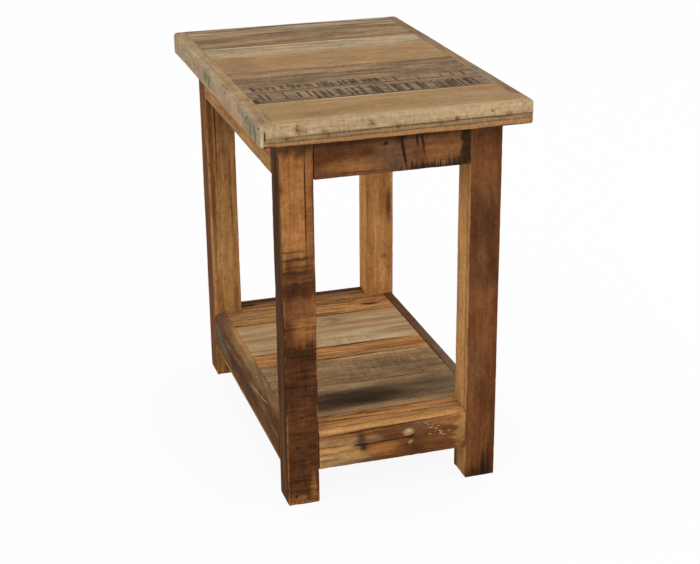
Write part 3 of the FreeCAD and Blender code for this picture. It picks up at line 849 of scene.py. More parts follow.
def front_apron():
    """Dark, with painted shade along its top under the slab, leaning black cracks and a comb of
    short ones along its lower edge.
    """
    comb = (Stain(FRONT(x, 513), (1.0 + 0.3 * (number % 3), 6, 4 + 3 * (number * 2 % 5)), "soot",
                  0.9, 0.06, 0.5)
            for number, x in enumerate((8, 12, 28, 31, 34, 38, 41, 44, 47, 51, 54, 58, 62, 67, 71,
                                        76, 80, 84, 88, 92, 95, 98, 101)))
    marks = marked(
        FRONT,
        Stain((0, -276, 540), (200, 9, 80), "umber", 0.2, 0.6, 0.3),
        (-92, 540, (60, 8, 40), "rust", 0.7),
        (0, 538, (30, 8, 18), "umber", 0.4, 1.2, 0.7),
        # Painted shade under the slab: this walnut band and the one at x 20 darken the top of the
        # apron.
        (-60, 569, (90, 8, 9), "walnut", 0.85, 0.6),
        (-56, 529, (36, 8, 11), "orange", 0.6, 1, 0.7),
        (64, 536, (40, 8, 14), "orange", 0.45, 1.2),
        # Painted shade under the slab along the top of the apron.
        (20, 569, (130, 8, 9), "walnut", 0.8, 0.6),
        (-60, 519, (60, 6, 1.2), "rust", 0.8, 0.3, 0.5),
        (15, 545, (2.4, 6, 28), "soot", 0.92, 0.1, 0.5, (-0.18, 0, 0)),
        (9, 565, (8, 6, 9), "soot", 0.75, 0.4, 0.7),
        (35, 560, (1.6, 6, 14), "soot", 0.9, 0.1, 0.5, (-0.12, 0, 0)),
        (44, 554, (1.8, 6, 20), "soot", 0.9, 0.1, 0.5, (-0.14, 0, 0)),
        (40, 536, (10, 6, 14), "rust", 0.5, 0.6, 0.7),
        (110, 545, (8, 6, 50), "soot", 0.85, 0.3, 0.4),
        (96, 520, (12, 6, 9), "soot", 0.6, 0.4),
        (44, 517, (20, 6, 6), "soot", 0.6, 0.9, 0.7),
        (4, 519, (9, 6, 7), "soot", 0.4, 0.9, 0.8),
        (-11, 557, (3.5, 6, 2.6), "soot", 0.95, 0.2, 0.5),
        (-33, 551, (2, 6, 7), "rust", 0.8, 0.2),
        (-38, 552, (1.4, 6, 6), "rust", 0.8, 0.2),
        *comb,
    )
    return Look("X", "chestnut", "rust", "umber", contrast=0.6, figure=0.15, veins=0.3,
                pith=(-90, 60), rub=0.1, mottle=1.3, seed=11, marks=marks)


def apron_looks():
    return {
        "front": front_apron(),
        "right": Look("Y", "orange", "chestnut", "rust", contrast=0.6, figure=0.3, veins=0.4,
                      pith=(-70, 60), seed=12),
        "back": Look("X", "chestnut", "walnut", "rust", contrast=0.6, figure=0.35, veins=0.5,
                     pith=(80, 60), seed=13),
        "left": Look("Y", "tan", "orange", "honey", contrast=0.4, figure=0.3, veins=0.4,
                     pith=(60, 60), seed=14),
    }


def front_rail():
    """Rubbed yellow on the left, with a painted highlight along its top arris, stained round a
    knot, cracked and flecked.
    """
    flecks = (Stain(FRONT(x, z), (wide, 4, tall), "cream", 0.65, 0.4, 0.7, (0, 0, -0.3))
              for x, z, wide, tall in (
                  (56, 108, 3.2, 0.5), (60, 105, 1.2, 0.7), (66, 104, 2.2, 0.4),
                  (62, 99, 3.4, 0.5), (70, 96, 2, 0.8), (67, 92, 1.2, 0.5), (76, 91, 4.6, 0.6),
                  (80, 87, 2.4, 0.9), (86, 84, 3.6, 0.5), (60, 88, 2.6, 0.5), (76, 100, 1.6, 0.5),
                  (90, 90, 2, 0.4)))
    marks = marked(
        FRONT,
        (-100, 80, (50, 9, 52), "tan", 0.7, 1.2, 0.3),
        (-100, 80, (50, 9, 52), "honey", 0.3, 1.2, 0.3),
        (-92, 86, (26, 6, 3), "straw", 0.5, 1.2),
        (-104, 74, (26, 6, 2.4), "straw", 0.5, 1.2),
        (-98, 102, (30, 6, 6), "chestnut", 0.35, 1.2, 0.7),
        (-100, 92, (34, 6, 1.0), "chestnut", 0.9, 1.2),
        (-90, 80, (34, 6, 0.9), "chestnut", 0.85, 1.3),
        (-104, 69, (24, 6, 1.2), "umber", 0.85, 1.1),
        (-70, 60, (30, 6, 3), "umber", 0.7, 0.6),
        # Painted highlight along the rounded top arris: this straw band and the honey one after it.
        Stain((20, -266, 122), (170, 24, 9), "straw", 0.85, 0.5, 0.35),
        Stain((-40, -268, 121), (90, 10, 8), "honey", 0.6, 0.6, 0.5),
        Stain((-20, -262, 121), (110, 1.6, 6), "chestnut", 0.8, 1, 0.5),
        Stain((30, -257, 121), (80, 1.6, 6), "chestnut", 0.8, 1, 0.5),
        Stain((-80, -271, 108), (46, 7, 5), "chestnut", 0.6, 0.7),
        (-6, 112, (112, 7, 1.5), "walnut", 0.95, 0.45, 0.5, (0, 0, 0.03)),
        (-52, 91, (8, 6, 15), "bark", 0.7, 0.6, 0.8),
        (-49, 88, (11, 5, 2.2), "soot", 0.95, 0.4, 0.5),
        (-46, 82, (6, 5, 5), "soot", 0.85, 0.4, 0.7),
        (-50, 98, (6, 5, 8), "walnut", 0.7, 0.6, 0.7),
        (-56, 74, (5, 5, 7), "honey", 0.5, 0.5),
        (-30, 96, (14, 5, 6), "tan", 0.5, 0.6, 0.7),
        (-18, 76, (24, 5, 10), "orange", 0.7, 0.8),
        (-8, 101, (20, 5, 9), "rust", 0.6, 0.8),
        (22, 108, (16, 5, 5), "walnut", 0.6, 0.8),
        (40, 104, (26, 5, 8), "umber", 0.55, 0.8, 0.7),
        (36, 72, (14, 5, 12), "walnut", 0.7, 0.6, 0.7),
        (84, 76, (26, 5, 10), "chestnut", 0.5, 1, 0.7),
        (25, 97, (9, 5, 6), "tan", 0.85, 0.2, 0.35),
        (25, 99, (6, 5, 3), "cream", 0.4, 0.4, 0.5),
        (26, 88.5, (7, 4, 2.2), "soot", 0.95, 0.25, 0.5),
        (32, 91, (3.5, 4, 2), "soot", 0.7, 0.3, 0.5),
        (29, 80, (3.6, 4, 3.4), "tan", 0.75, 0.3, 0.5),
        (60, 64, (80, 6, 9), "rust", 0.75, 0.6),
        (0, 56, (120, 6, 1.6), "soot", 0.8, 0.3, 0.5),
        (110, 90, (9, 6, 26), "honey", 0.55, 0.8, 0.5),
        (0, 88, (62, 5, 0.8), "soot", 0.9, 0.12, 0.5, (0, 0, 0.03)),
        *flecks,
    )
    return Look("X", "chestnut", "rust", "orange", contrast=0.6, figure=0.25, veins=0.6,
                pith=(60, -90), rub=0.4, mottle=1.2, seed=21, marks=marks,
                cracks=(Crack("Z", 86, -62, 30, "-Y", 0.6),))


def right_rail():
    """Dark, its top edge brown at the front and red-brown at the back."""
    marks = marked(
        SHELF,
        (157, 0, (14, 260, 6), "umber", 0.75, 0.7, 0.5),
        (157, 150, (14, 90, 6), "rust", 0.6),
        (158, -150, (14, 90, 6), "brown", 0.5),
        (148, 60, (2, 180, 5), "walnut", 0.7, 0.5),
    )
    return Look("Y", "chestnut", "rust", "umber", contrast=0.6, figure=0.25, veins=0.5,
                pith=(60, -90), rub=0.1, mottle=1, seed=22, marks=marks)


def left_rail():
    """Grey-green at the back, scratched, with a light top edge."""
    marks = marked(
        SHELF,
        Stain((-168, 0, 88), (6, 300, 24), "umber", 0.2, 1, 0.5),
        Stain((-168, 20, 92), (6, 120, 7), "walnut", 0.6, 0.8),
        Stain((-152, 0, 121), (16, 260, 5), "tan", 0.7, 1, 0.5),
        Stain((-154, 180, 120), (12, 50, 6), "umber", 0.55, 0.8),
        Stain((-148, 90, 120), (8, 70, 6), "straw", 0.6, 0.8),
        Stain((-154, -70, 120), (14, 80, 6), "umber", 0.5, 0.8),
        (-156, -40, (1.2, 40, 6), "tan", 0.6, 0.3, 0.6, (0.12, 0, 0)),
        (-152, -84, (1.2, 34, 6), "tan", 0.6, 0.3, 0.6, (0.12, 0, 0)),
        (-158, -128, (1.2, 34, 6), "tan", 0.5, 0.3, 0.6, (0.1, 0, 0)),
        Stain((-168, 168, 92), (6, 44, 16), "slate", 0.5),
        Stain((-168, 150, 98), (6, 26, 9), "soot", 0.5),
        Stain((-168, 90, 84), (6, 30, 9), "soot", 0.45),
        Stain((-166, -90, 110), (4, 46, 1.1), "cream", 0.45, 0.3, 0.5, (0, 0, -0.12)),
        Stain((-166, -50, 100), (4, 40, 1), "tan", 0.5, 0.3, 0.5, (0, 0, -0.16)),
        Stain((-166, -120, 96), (4, 36, 1), "tan", 0.5, 0.3, 0.5, (0, 0, -0.14)),
        Stain((-166, 40, 106), (4, 40, 1), "tan", 0.6, 0.3, 0.5, (0, 0, -0.12)),
        Stain((-166, 130, 100), (4, 40, 1.2), "tan", 0.5, 0.3, 0.5, (0, 0, -0.1)),
        Stain((-168, 0, 58), (8, 280, 5), "honey", 0.55, 0.8),
    )
    return Look("Y", "chestnut", "walnut", "rust", contrast=0.7, figure=0.3, veins=0.6,
                pith=(60, -90), rub=0.2, mottle=1.3, seed=24, marks=marks)


def rail_looks():
    return {
        "front": front_rail(),
        "right": right_rail(),
        "back": Look("X", "chestnut", "walnut", "rust", contrast=0.6, figure=0.35, veins=0.5,
                     pith=(60, -70), seed=23),
        "left": left_rail(),
    }


def between_legs(node):
    """Corners of a node without its tenons, and the axis that it runs along."""
    low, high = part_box(node)
    axis = 0 if high.x - low.x > high.y - low.y else 1
    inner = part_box("leg_front_left")[1][axis]
    low[axis] = inner
    high[axis] = -inner
    return low, high, axis


def ends(axis):
    """The two faces across an axis."""
    return (f"-{AXES[axis]}", f"+{AXES[axis]}")


class TABLE_OT_aprons(bpy.types.Operator):
    """Build the four aprons under the top"""
    bl_idname = "table.aprons"
    bl_label = "Aprons"

    def execute(self, context):
        for side, look in apron_looks().items():
            node = f"apron_{side}"
            low, high, axis = between_legs(node)
            rounds = [(lying_at("Z", low.z), sizes().board_arris * 2, 2)]
            board(Plan(node, look, low, high, rounds, "apron_wood", ends(axis) + ("+Z",)))
        return {"FINISHED"}


class TABLE_OT_rails(bpy.types.Operator):
    """Build the four rails round the shelf"""
    bl_idname = "table.rails"
    bl_label = "Rails"

    def execute(self, context):
        size = sizes()
        for side, look in rail_looks().items():
            node = f"rail_{side}"
            low, high, axis = between_legs(node)
            across = 1 - axis
            faces_low = side in ("front", "left")
            outside = lying_at(AXES[across], low[across] if faces_low else high[across])
            rounds = [(both(outside, lying_at("Z", high.z)), size.rail_arris, 5),
                      (both(outside, lying_at("Z", low.z)), size.leg_arris, 3)]
            inside = ends(across)[1 if faces_low else 0]
            board(Plan(node, look, low, high, rounds, "rail_wood", ends(axis) + (inside,)))
        return {"FINISHED"}


# Boards of the top.

def rim_marks():
    """What crosses the joints on the front of the slab: a pale upper part, a brown band that
    rises to the right and a warm strip along the foot."""
    return (
        Stain((0, -309, 598), (400, 22, 30), "tan", 0.5, 0.4, 0.3),
        Stain((0, -307, 602), (400, 15, 12), "cream", 0.42, 0.5, 0.6, (0, 0, 0.012)),
        Stain((0, -307, 575), (400, 9, 9.5), "tan", 0.9, 0.2, 0.2, (0, 0, 0.006)),
        Stain((0, -307, 575), (400, 9, 9.5), "orange", 0.5, 0.6, 0.3, (0, 0, 0.006)),
        Stain((0, -307, 587), (400, 7, 4.6), "brown", 0.85, 0.25, 0.25, (0, 0, 0.006)),
        Stain((0, -307, 587.6), (400, 7, 2), "ochre", 0.5, 0.4, 0.5, (0, 0, 0.008)),
        Stain((60, -307, 590.6), (240, 6, 1.1), "bark", 0.8, 0.35, 0.5, (0, 0, 0.008)),
        Stain((0, -307, 583.6), (400, 6, 0.9), "bark", 0.6, 0.35, 0.5, (0, 0, 0.006)),
        Stain((0, -305, 574.8), (400, 6, 2.2), "walnut", 0.95, 0.7, 0.4),
        Kerfs((0, -306, 590), (230, 5, 20), 3, 0.1, 0.14, 9),
    )


def top_back():
    """Bleached, with dark cracks along the grain."""
    marks = marked(
        TOP,
        (-80, 240, (110, 2.4, 5), "walnut", 0.95, 0.35, 0.4, (0, 0.06, 0)),
        (-120, 229, (70, 2, 5), "walnut", 0.9, 0.35, 0.4, (0, -0.04, 0)),
        (60, 256, (80, 1.8, 6), "walnut", 0.9, 0.4, 0.5, (0, 0.05, 0)),
        (150, 246, (50, 2, 5), "walnut", 0.8, 0.3, 0.5, (0, -0.1, 0)),
        (60, 265, (110, 5, 6), "umber", 0.6, 0.8),
        (-110, 256, (60, 8, 6), "rose", 0.6, 0.8),
        (-60, 290, (120, 3, 6), "walnut", 0.8, 0.6, 0.6, (0, 0.1, 0)),
        (90, 288, (110, 3, 6), "umber", 0.8, 0.8, 0.6, (0, -0.06, 0)),
        (-60, 276, (100, 1.6, 6), "umber", 0.8, 0.5),
        Stain((0, 303, 608), (190, 3, 5), "umber", 0.6, 0.6),
    )
    return Look("X", "pale", "brown", "umber", contrast=0.5, figure=0.2, veins=0.4, pith=(70, 60),
                rub=0, mottle=0.9, seed=31, marks=marks)


def top_2():
    """Light brown, darker at the back."""
    marks = marked(
        TOP,
        (30, 222, (150, 7, 6), "brown", 0.7, 0.8),
        (-70, 205, (26, 3, 6), "umber", 0.8, 0.8, 0.7),
        (-100, 170, (50, 5, 6), "umber", 0.4, 0.8),
    )
    return Look("X", "khaki", "brown", "umber", contrast=0.35, figure=0.2, veins=0.25,
                pith=(70, 60), rub=0, mottle=1.1, seed=32, marks=marks)


def top_3():
    """The palest board of the top."""
    marks = marked(
        TOP,
        (-60, 152, (130, 3, 5), "cream", 0.5, 0.4, 0.5),
    )
    return Look("X", "pale", "khaki", "olive", contrast=0.4, figure=0.15, veins=0.2,
                pith=(90, 80), rub=0, mottle=0.9, seed=33, marks=marks)


def top_4():
    """Warm, with a yellow line along its front seam."""
    marks = marked(
        TOP,
        (-100, -13, (90, 1.8, 4), "orange", 0.7, 0.3, 0.5),
        (60, -13, (110, 2.2, 4), "honey", 0.5, 0.3, 0.5),
        (-150, 30, (26, 60, 6), "brown", 0.4, 0.8, 0.7),
    )
    return Look("X", "tan", "khaki", "khaki", contrast=0.5, figure=0.2, veins=0.15,
                pith=(110, 90), rub=0, mottle=0.8, seed=34, marks=marks)


def top_5():
    """Weathered brown, its front part sawn."""
    marks = marked(
        TOP,
        (40, -24, (130, 8, 6), "rust", 0.3, 0.8, 0.7),
        (-66, -126, (112, 21, 6), "ash", 0.35, 0.2, 0.25),
        (110, -124, (60, 14, 6), "ash", 0.4, 0.5, 0.4),
        # Painted shade in the saw gouges, with pale ridges.
        Sawn(0.85, 0.12),
        (-20, -137.9, (170, 2.2, 5), "walnut", 0.95, 0.05, 0.4),
    )
    return Look("X", "brown", "umber", "khaki", contrast=0.26, figure=0.1, veins=0.1,
                pith=(90, 80), rub=0, mottle=1.1, seed=35, marks=marks)


def top_6():
    """Dark and sawn all over."""
    marks = marked(
        TOP,
        (-134, -170, (60, 34, 5), "umber", 0.55, 0.9),
        (-96, -174, (12, 26, 5), "rose", 0.4, 0.5),
        (20, -192, (170, 9, 5), "umber", 0.7, 0.6),
        (60, -170, (90, 24, 5), "umber", 0.35, 1.2, 0.7),
        # Painted shade in the saw gouges, with pale ridges.
        Sawn(0.9, 0.16),
        (-20, -137.9, (170, 1.8, 5), "walnut", 0.95, 0.05, 0.4),
        (0, -200, (180, 3.4, 5), "walnut", 0.95, 0.4, 0.4),
        (-130, -192, (60, 1.2, 5), "soot", 0.9, 0.3, 0.5),
        (-130, -196, (60, 1.6, 5), "khaki", 0.6, 0.3, 0.5),
        (-174, -186, (6, 16, 5), "soot", 0.75, 0.5),
    )
    return Look("X", "ash", "umber", "brown", contrast=0.7, figure=0.15, veins=0.3, pith=(90, 80),
                rub=0, mottle=1.3, seed=36, marks=marks)


def top_front():
    """Light, clouded, with small knots along the rim."""
    knots = (Knot(RIM(x, z), radius, strength) for x, z, radius, strength in (
        (-164, 587, 4, 1), (-147, 598, 6.5, 0.9), (-138, 594, 4, 0.7), (-111, 592, 4, 0.95),
        (-106, 587, 3, 0.8), (-42, 597, 5.5, 0.75), (-3, 590, 4.5, 0.9), (60, 590, 4.5, 0.8),
        (83, 593, 4.5, 0.85), (136, 599, 2, 1), (161, 593, 4.5, 0.8)))
    marks = marked(
        TOP,
        (0, -203, (180, 2.6, 5), "cream", 0.4, 0.4, 0.5),
        (-60, -226, (60, 8, 6), "rose", 0.45, 0.6),
        (-110, -232, (46, 9, 6), "ochre", 0.8, 0.8),
        (10, -246, (60, 12, 6), "ochre", 0.7, 0.8),
        (120, -244, (50, 12, 6), "rose", 0.35, 0.8),
        (0, -276, (170, 1.4, 6), "brown", 0.7, 0.4, 0.5, (0, -0.02, 0)),
        (60, -292, (130, 1.8, 6), "brown", 0.7, 0.4, 0.5),
        *rim_marks(),
        *knots,
    )
    return Look("X", "khaki", "tan", "ochre", contrast=0.5, figure=0.12, veins=0.1,
                pith=(120, -60), rub=0, mottle=0.7, seed=37, marks=marks)


def top_looks():
    return {
        "back": top_back(),
        "2": top_2(),
        "3": top_3(),
        "4": top_4(),
        "5": top_5(),
        "6": top_6(),
        "front": top_front(),
    }


def top_seams():
    """Y of the seams of the top from the back, read where two boards' boxes meet."""
    boxes = [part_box(f"top_board_{part}") for part in top_looks()]
    tongue = boxes[1][1].y - boxes[0][0].y
    inner = [box[0].y + tongue for box in boxes[:-1]]
    return [boxes[0][1].y] + inner + [boxes[-1][0].y]


def saw_marks(part, low, high):
    """Gouges of the sawn boards: along the front of board 5, and in two rows on board 6."""
    front, back = low.y / MM, high.y / MM
    if part == "5":
        return (row_of_gouges(5, start=-165, end=46, back=front + 36, front=front + 3,
                              pitch=9, widest=5.5)
                + row_of_gouges(15, start=52, end=172, back=front + 28, front=front,
                                pitch=24, widest=2.5))
    if part == "6":
        back -= 8
        return (row_of_gouges(6, start=-164, end=-90, back=back, front=back - 42,
                              pitch=20, widest=2.6)
                + row_of_gouges(16, start=-84, end=176, back=back, front=front,
                                pitch=12, widest=5.2))
    return ()


class TABLE_OT_top_boards(bpy.types.Operator):
    """Build the seven boards of the top"""
    bl_idname = "table.top_boards"
    bl_label = "Top boards"

    def execute(self, context):
        size = sizes()
        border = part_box("top_border_left")[1].x
        seams = top_seams()
        slots = {"back": "umber_board", "2": "brown_board", "3": "pale_board",
                 "4": "tan_board", "5": "brown_board", "6": "sawn_board", "front": "pale_board"}
        for number, (part, look) in enumerate(top_looks().items()):
            node = f"top_board_{part}"
            low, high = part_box(node)
            low.x, high.x = border, -border
            low.y, high.y = seams[number + 1], seams[number]
            upper = lying_at("Z", high.z)
            front_edge = lying_at("Y", low.y)
            back_edge = lying_at("Y", high.y)
            front_round = size.rim_arris if part == "front" else size.board_arris
            back_round = size.rim_arris if part == "back" else size.board_arris
            rounds = [(both(upper, front_edge), front_round, 3),
                      (both(upper, back_edge), back_round, 3)]
            if part == "front":
                rounds.append((both(lying_at("Z", low.z), front_edge), size.leg_arris, 3))
            gouges = saw_marks(part, low, high)
            grid = (size.fine_grid, size.grid * 0.75, size.grid * 2) if gouges else None
            joined = ends(0) + {"back": ("-Y",), "front": ("+Y",)}.get(part, ends(1))
            board(Plan(node, look, low, high, rounds, slots[part], joined, 0.35, grid, gouges))
        return {"FINISHED"}


# Borders of the top.

def left_border():
    """Bleached outside, and painted paler there to lift the shade on that side, with traces of
    green paint and grey scars.
    """
    scars = (Stain((-203, y, z), (6, wide, tall), "slate", 0.95, 0.6, 0.5)
             for y, z, wide, tall in (
                 (-270, 588, 5, 16), (-246, 586, 4, 12), (-226, 596, 4, 8), (-205, 592, 3, 9),
                 (-176, 598, 3, 6), (-120, 594, 3, 7), (-92, 600, 2, 5), (20, 590, 8, 10),
                 (48, 596, 7, 9), (140, 596, 4, 6)))
    marks = marked(
        TOP,
        *rim_marks(),
        # Partly bleached wood, partly painted light: the pale outer face is raised to lift its
        # shade.
        Stain((-206, 0, 590), (12, 500, 60), "pale", 0.65, 0.2, 0.3),
        (-190, 190, (24, 150, 8), "pale", 0.2, 0.6, 0.5),
        Stain((-203, -238, 588), (6, 50, 22), "olive", 0.65, 1, 0.5),
        Stain((-203, 34, 594), (6, 46, 14), "olive", 0.6),
        Stain((-203, 180, 594), (6, 60, 20), "olive", 0.35),
        Stain((-203, -90, 590), (6, 60, 20), "rose", 0.5),
        Stain((-203, 110, 590), (6, 50, 16), "rose", 0.4),
        Stain((-202, 284, 592), (6, 22, 26), "rose", 0.6, 1, 0.5),
        Stain((-202, 262, 590), (5, 4, 18), "slate", 0.6, 0.5),
        *scars,
        Stain((-201, 236, 602), (3, 3, 2), "soot", 0.9, 0.1, 0.4),
        Stain((-200, -293, 601), (3, 2.5, 2), "soot", 0.95, 0.1, 0.4),
        Stain((-199, -303, 590), (2.6, 3.2, 18), "cream", 0.75, 0.1, 0.4),
        Stain((-194, -305, 592), (1, 4, 8), "soot", 0.95, 0.05, 0.5),
        Stain((-190, -305, 576), (8, 8, 2.6), "rust", 0.9, 0.3, 0.5),
        Stain((-194, -305, 577), (2, 8, 2), "soot", 0.9, 0.2, 0.5),
        Stain((-200, 0, 576), (5, 300, 3), "honey", 0.5, 0.5),
        (-182, -270, (2.4, 22, 6), "umber", 0.6, 0.5),
    )
    return Look("Y", "khaki", "brown", "tan", contrast=0.55, figure=0.15, veins=0.2,
                pith=(-60, 50), rub=0, mottle=1.2, seed=41, marks=marks)


def right_border():
    """Brown, grey along its outer arris."""
    marks = marked(
        TOP,
        (190, 130, (22, 170, 6), "umber", 0.4),
        Stain((199, 60, 609), (5, 260, 6), "olive", 0.4, 0.5, 0.5),
        Stain((200, 60, 606), (3, 260, 5), "slate", 0.8, 0.5, 0.5),
        (188, -245, (5, 20, 4), "umber", 0.4, 0.6),
        Stain((184, -285, 608), (20, 26, 8), "khaki", 0.7, 0.6),
        *rim_marks(),
        Stain((203, -280, 592), (4, 40, 30), "umber", 0.5, 0.5, 0.4),
    )
    return Look("Y", "brown", "khaki", "olive", contrast=0.4, figure=0.1, veins=0.1,
                pith=(60, 50), rub=0, mottle=0.9, seed=42, marks=marks)


def border_looks():
    return {
        "left": left_border(),
        "right": right_border(),
    }


class TABLE_OT_top_borders(bpy.types.Operator):
    """Build the two borders along the sides of the top"""
    bl_idname = "table.top_borders"
    bl_label = "Top borders"

    def execute(self, context):
        size = sizes()
        for side, look in border_looks().items():
            node = f"top_border_{side}"
            low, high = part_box(node)
            outer, inner = (low.x, high.x) if side == "left" else (high.x, low.x)
            seam = lying_at("X", inner)

            def rim(level):
                """Edges of a level face, but for the one along the seam."""
                there = lying_at("Z", level)
                return lambda a, b: there(a, b) and not seam(a, b)

            rounds = [(both(lying_at("X", outer), upright), size.rim_arris * 1.5, 4),
                      (rim(high.z), size.rim_arris, 3), (rim(low.z), size.leg_arris, 3),
                      (both(lying_at("Z", high.z), seam), size.board_arris * 0.5, 2)]
            joined = ("+X",) if side == "left" else ("-X",)
            board(Plan(node, look, low, high, rounds, "border_wood", joined, wave=0.7))
        return {"FINISHED"}


# Boards and strips of the shelf.

def shelf_back():
    """Yellow, with dark lines along the grain."""
    marks = marked(
        SHELF,
        (0, 214, (160, 2.4, 4), "rust", 0.9, 1.5, 0.5),
        (-40, 196, (110, 1.8, 4), "rust", 0.9, 1.5, 0.5),
        (-80, 180, (90, 2, 4), "walnut", 0.85, 1.5, 0.5),
        (106, 184, (14, 5, 4), "soot", 0.9, 0.7),
        (40, 172, (100, 2, 4), "cream", 0.4, 1.4),
        (60, 156, (80, 1.8, 4), "walnut", 0.9, 0.4, 0.5),
        (-110, 196, (40, 26, 4), "tan", 0.55, 1, 0.7),
        (-40, 204, (60, 8, 4), "honey", 0.5, 1.2, 0.7),
    )
    return Look("X", "straw", "orange", "chestnut", contrast=0.85, figure=0.4, veins=0.7,
                pith=(60, 40), rub=0, mottle=1.1, seed=51, marks=marks)


def shelf_2():
    """The palest board, with faint saw lines and grey stains."""
    marks = marked(
        SHELF,
        (10, 135, (60, 18, 5), "tan", 0.5),
        (-116, 96, (44, 60, 5), "tan", 0.6, 1, 0.7),
        (-40, 60, (80, 14, 5), "cream", 0.3, 0.8),
        (30, 134, (14, 9, 5), "slate", 0.6, 1, 0.8),
        (22, 118, (7, 8, 5), "slate", 0.5, 0.8, 0.8),
        (0, 88, (130, 2, 5), "khaki", 0.7, 0.6),
        (60, 40, (90, 10, 5), "cream", 0.4, 0.8),
        (60, 108, (80, 5, 5), "orange", 0.35, 0.8),
        Kerfs(SHELF(10, 45), (60, 30, 6), 6, 0.14, 0.35, 40),
    )
    return Look("X", "wheat", "tan", "cream", contrast=0.5, figure=0.1, veins=0.1, pith=(80, 70),
                rub=0, mottle=0.5, seed=52, marks=marks)


def shelf_3():
    """Narrow and yellow, with red-brown lines."""
    marks = marked(
        SHELF,
        (0, 24, (150, 2.6, 4), "rust", 0.95, 1.2),
        (-60, 4, (100, 1.6, 4), "rust", 0.85, 1.5, 0.5),
        (30, -10, (110, 1.6, 4), "chestnut", 0.8, 1.5, 0.5),
        (-20, -22, (140, 2.2, 4), "rust", 0.85, 1.2),
    )
    return Look("X", "straw", "orange", "tan", contrast=0.75, figure=0.35, veins=0.6,
                pith=(70, 50), rub=0, mottle=1.1, seed=53, marks=marks)


def shelf_4():
    """Wide and clouded, darker to the front."""
    marks = marked(
        SHELF,
        (0, -36, (170, 9, 6), "tan", 0.75, 1.4, 0.7),
        (60, -28, (80, 3, 6), "cream", 0.5, 1.2),
        (-30, -112, (100, 10, 6), "walnut", 0.4, 1, 0.9),
        (100, -100, (40, 16, 6), "umber", 0.5, 1.2, 0.7),
        (60, -121, (70, 1.4, 5), "rust", 0.9, 0.3, 0.5),
        (60, -70, (60, 16, 6), "umber", 0.5, 1.2, 0.8),
        Kerfs(SHELF(60, -76), (84, 34, 6), 9, 0.25, 0.1, 50),
    )
    return Look("X", "tan", "brown", "khaki", contrast=0.5, figure=0.15, veins=0.15,
                pith=(90, 60), rub=0, mottle=1.7, seed=54, marks=marks)


def shelf_front():
    """Brown, with a large black stain behind its front edge."""
    marks = marked(
        SHELF,
        (-24, -178, (120, 31, 8), "soot", 0.9, 0.9),
        (110, -150, (40, 18, 6), "walnut", 0.4, 0.8, 0.7),
        (100, -186, (60, 14, 6), "umber", 0.6, 0.8, 0.7),
        (40, -214, (120, 9, 5), "tan", 0.75, 1.4),
    )
    return Look("X", "khaki", "brown", "umber", contrast=0.5, figure=0.15, veins=0.15,
                pith=(60, 60), rub=0, mottle=1.2, seed=55, marks=marks)


def front_strip():
    """Yellow, with dark lines along the grain."""
    marks = marked(
        SHELF,
        (0, -223, (130, 1.8, 4), "rust", 0.9, 1.3, 0.5),
        (0, -232, (110, 1.4, 4), "chestnut", 0.9, 1.4, 0.5),
        (-60, -243, (60, 2.2, 4), "walnut", 0.85, 0.6),
        (60, -247, (70, 1.4, 4), "chestnut", 0.85, 1.4, 0.5),
    )
    return Look("X", "straw", "orange", "tan", contrast=0.8, figure=0.35, veins=0.7,
                pith=(60, 60), rub=0, mottle=1.1, seed=56, marks=marks)


def back_strip():
    """Yellow, with a red-brown line and a black stain."""
    marks = marked(
        SHELF,
        (-103, 243, (14, 5, 4), "soot", 0.9, 0.6),
        (0, 250, (140, 3, 4), "rust", 0.7, 0.8),
    )
    return Look("X", "straw", "chestnut", "tan", contrast=0.6, figure=0.3, veins=0.6,
                pith=(60, 60), rub=0, mottle=1, seed=57, marks=marks)


def shelf_looks():
    return {
        "board_back": shelf_back(),
        "board_2": shelf_2(),
        "board_3": shelf_3(),
        "board_4": shelf_4(),
        "board_front": shelf_front(),
        "strip_front": front_strip(),
        "strip_back": back_strip(),
    }


class TABLE_OT_shelf_boards(bpy.types.Operator):
    """Build the boards and strips of the shelf"""
    bl_idname = "table.shelf_boards"
    bl_label = "Shelf boards"

    def execute(self, context):
        slots = {"board_back": "tan_board", "board_2": "grey_board", "board_3": "tan_board",
                 "board_4": "umber_board", "board_front": "umber_board",
                 "strip_front": "tan_board", "strip_back": "tan_board"}
        looks = shelf_looks()
        boards = [part for part in looks if part.startswith("board")]
        boxes = [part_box(f"shelf_{part}") for part in boards]
        tongue = boxes[1][1].y - boxes[0][0].y
        for part, look in looks.items():
            node = f"shelf_{part}"
            low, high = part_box(node)
            if part in boards[:-1]:
                low.y += tongue
            rounds = [(both(lying_at("Z", high.z), crosswise), sizes().board_arris, 2)]
            board(Plan(node, look, low, high, rounds, slots[part], ends(0) + ends(1), wave=0.6))
        return {"FINISHED"}


# Cleats and screws keep their CAD shape and get their finish.

def screw_steel():
    """Zinc plated steel, dulled in patches."""
    shader = Shader(bpy.data.materials.new("screw_steel"))
    haze = shader.clouds(shader.scaled(shader.place(), 0.6), 4)
    colour = shader.mix(shader.ease(haze, 0.35, 0.7), linear("steel"), linear("slate"))
    shader.feed(shader.tree.nodes["Principled BSDF"], {
        "Base Color": colour, "Roughness": haze * 0.3 + 0.28, "Metallic": 1})
    return shader.owner


def give(piece, material):
    """Put a material in every slot of a CAD piece."""
    if not piece.material_slots:
        raise RuntimeError(f"{piece.name} has no material slot")
    for place in piece.material_slots:
        place.material = material


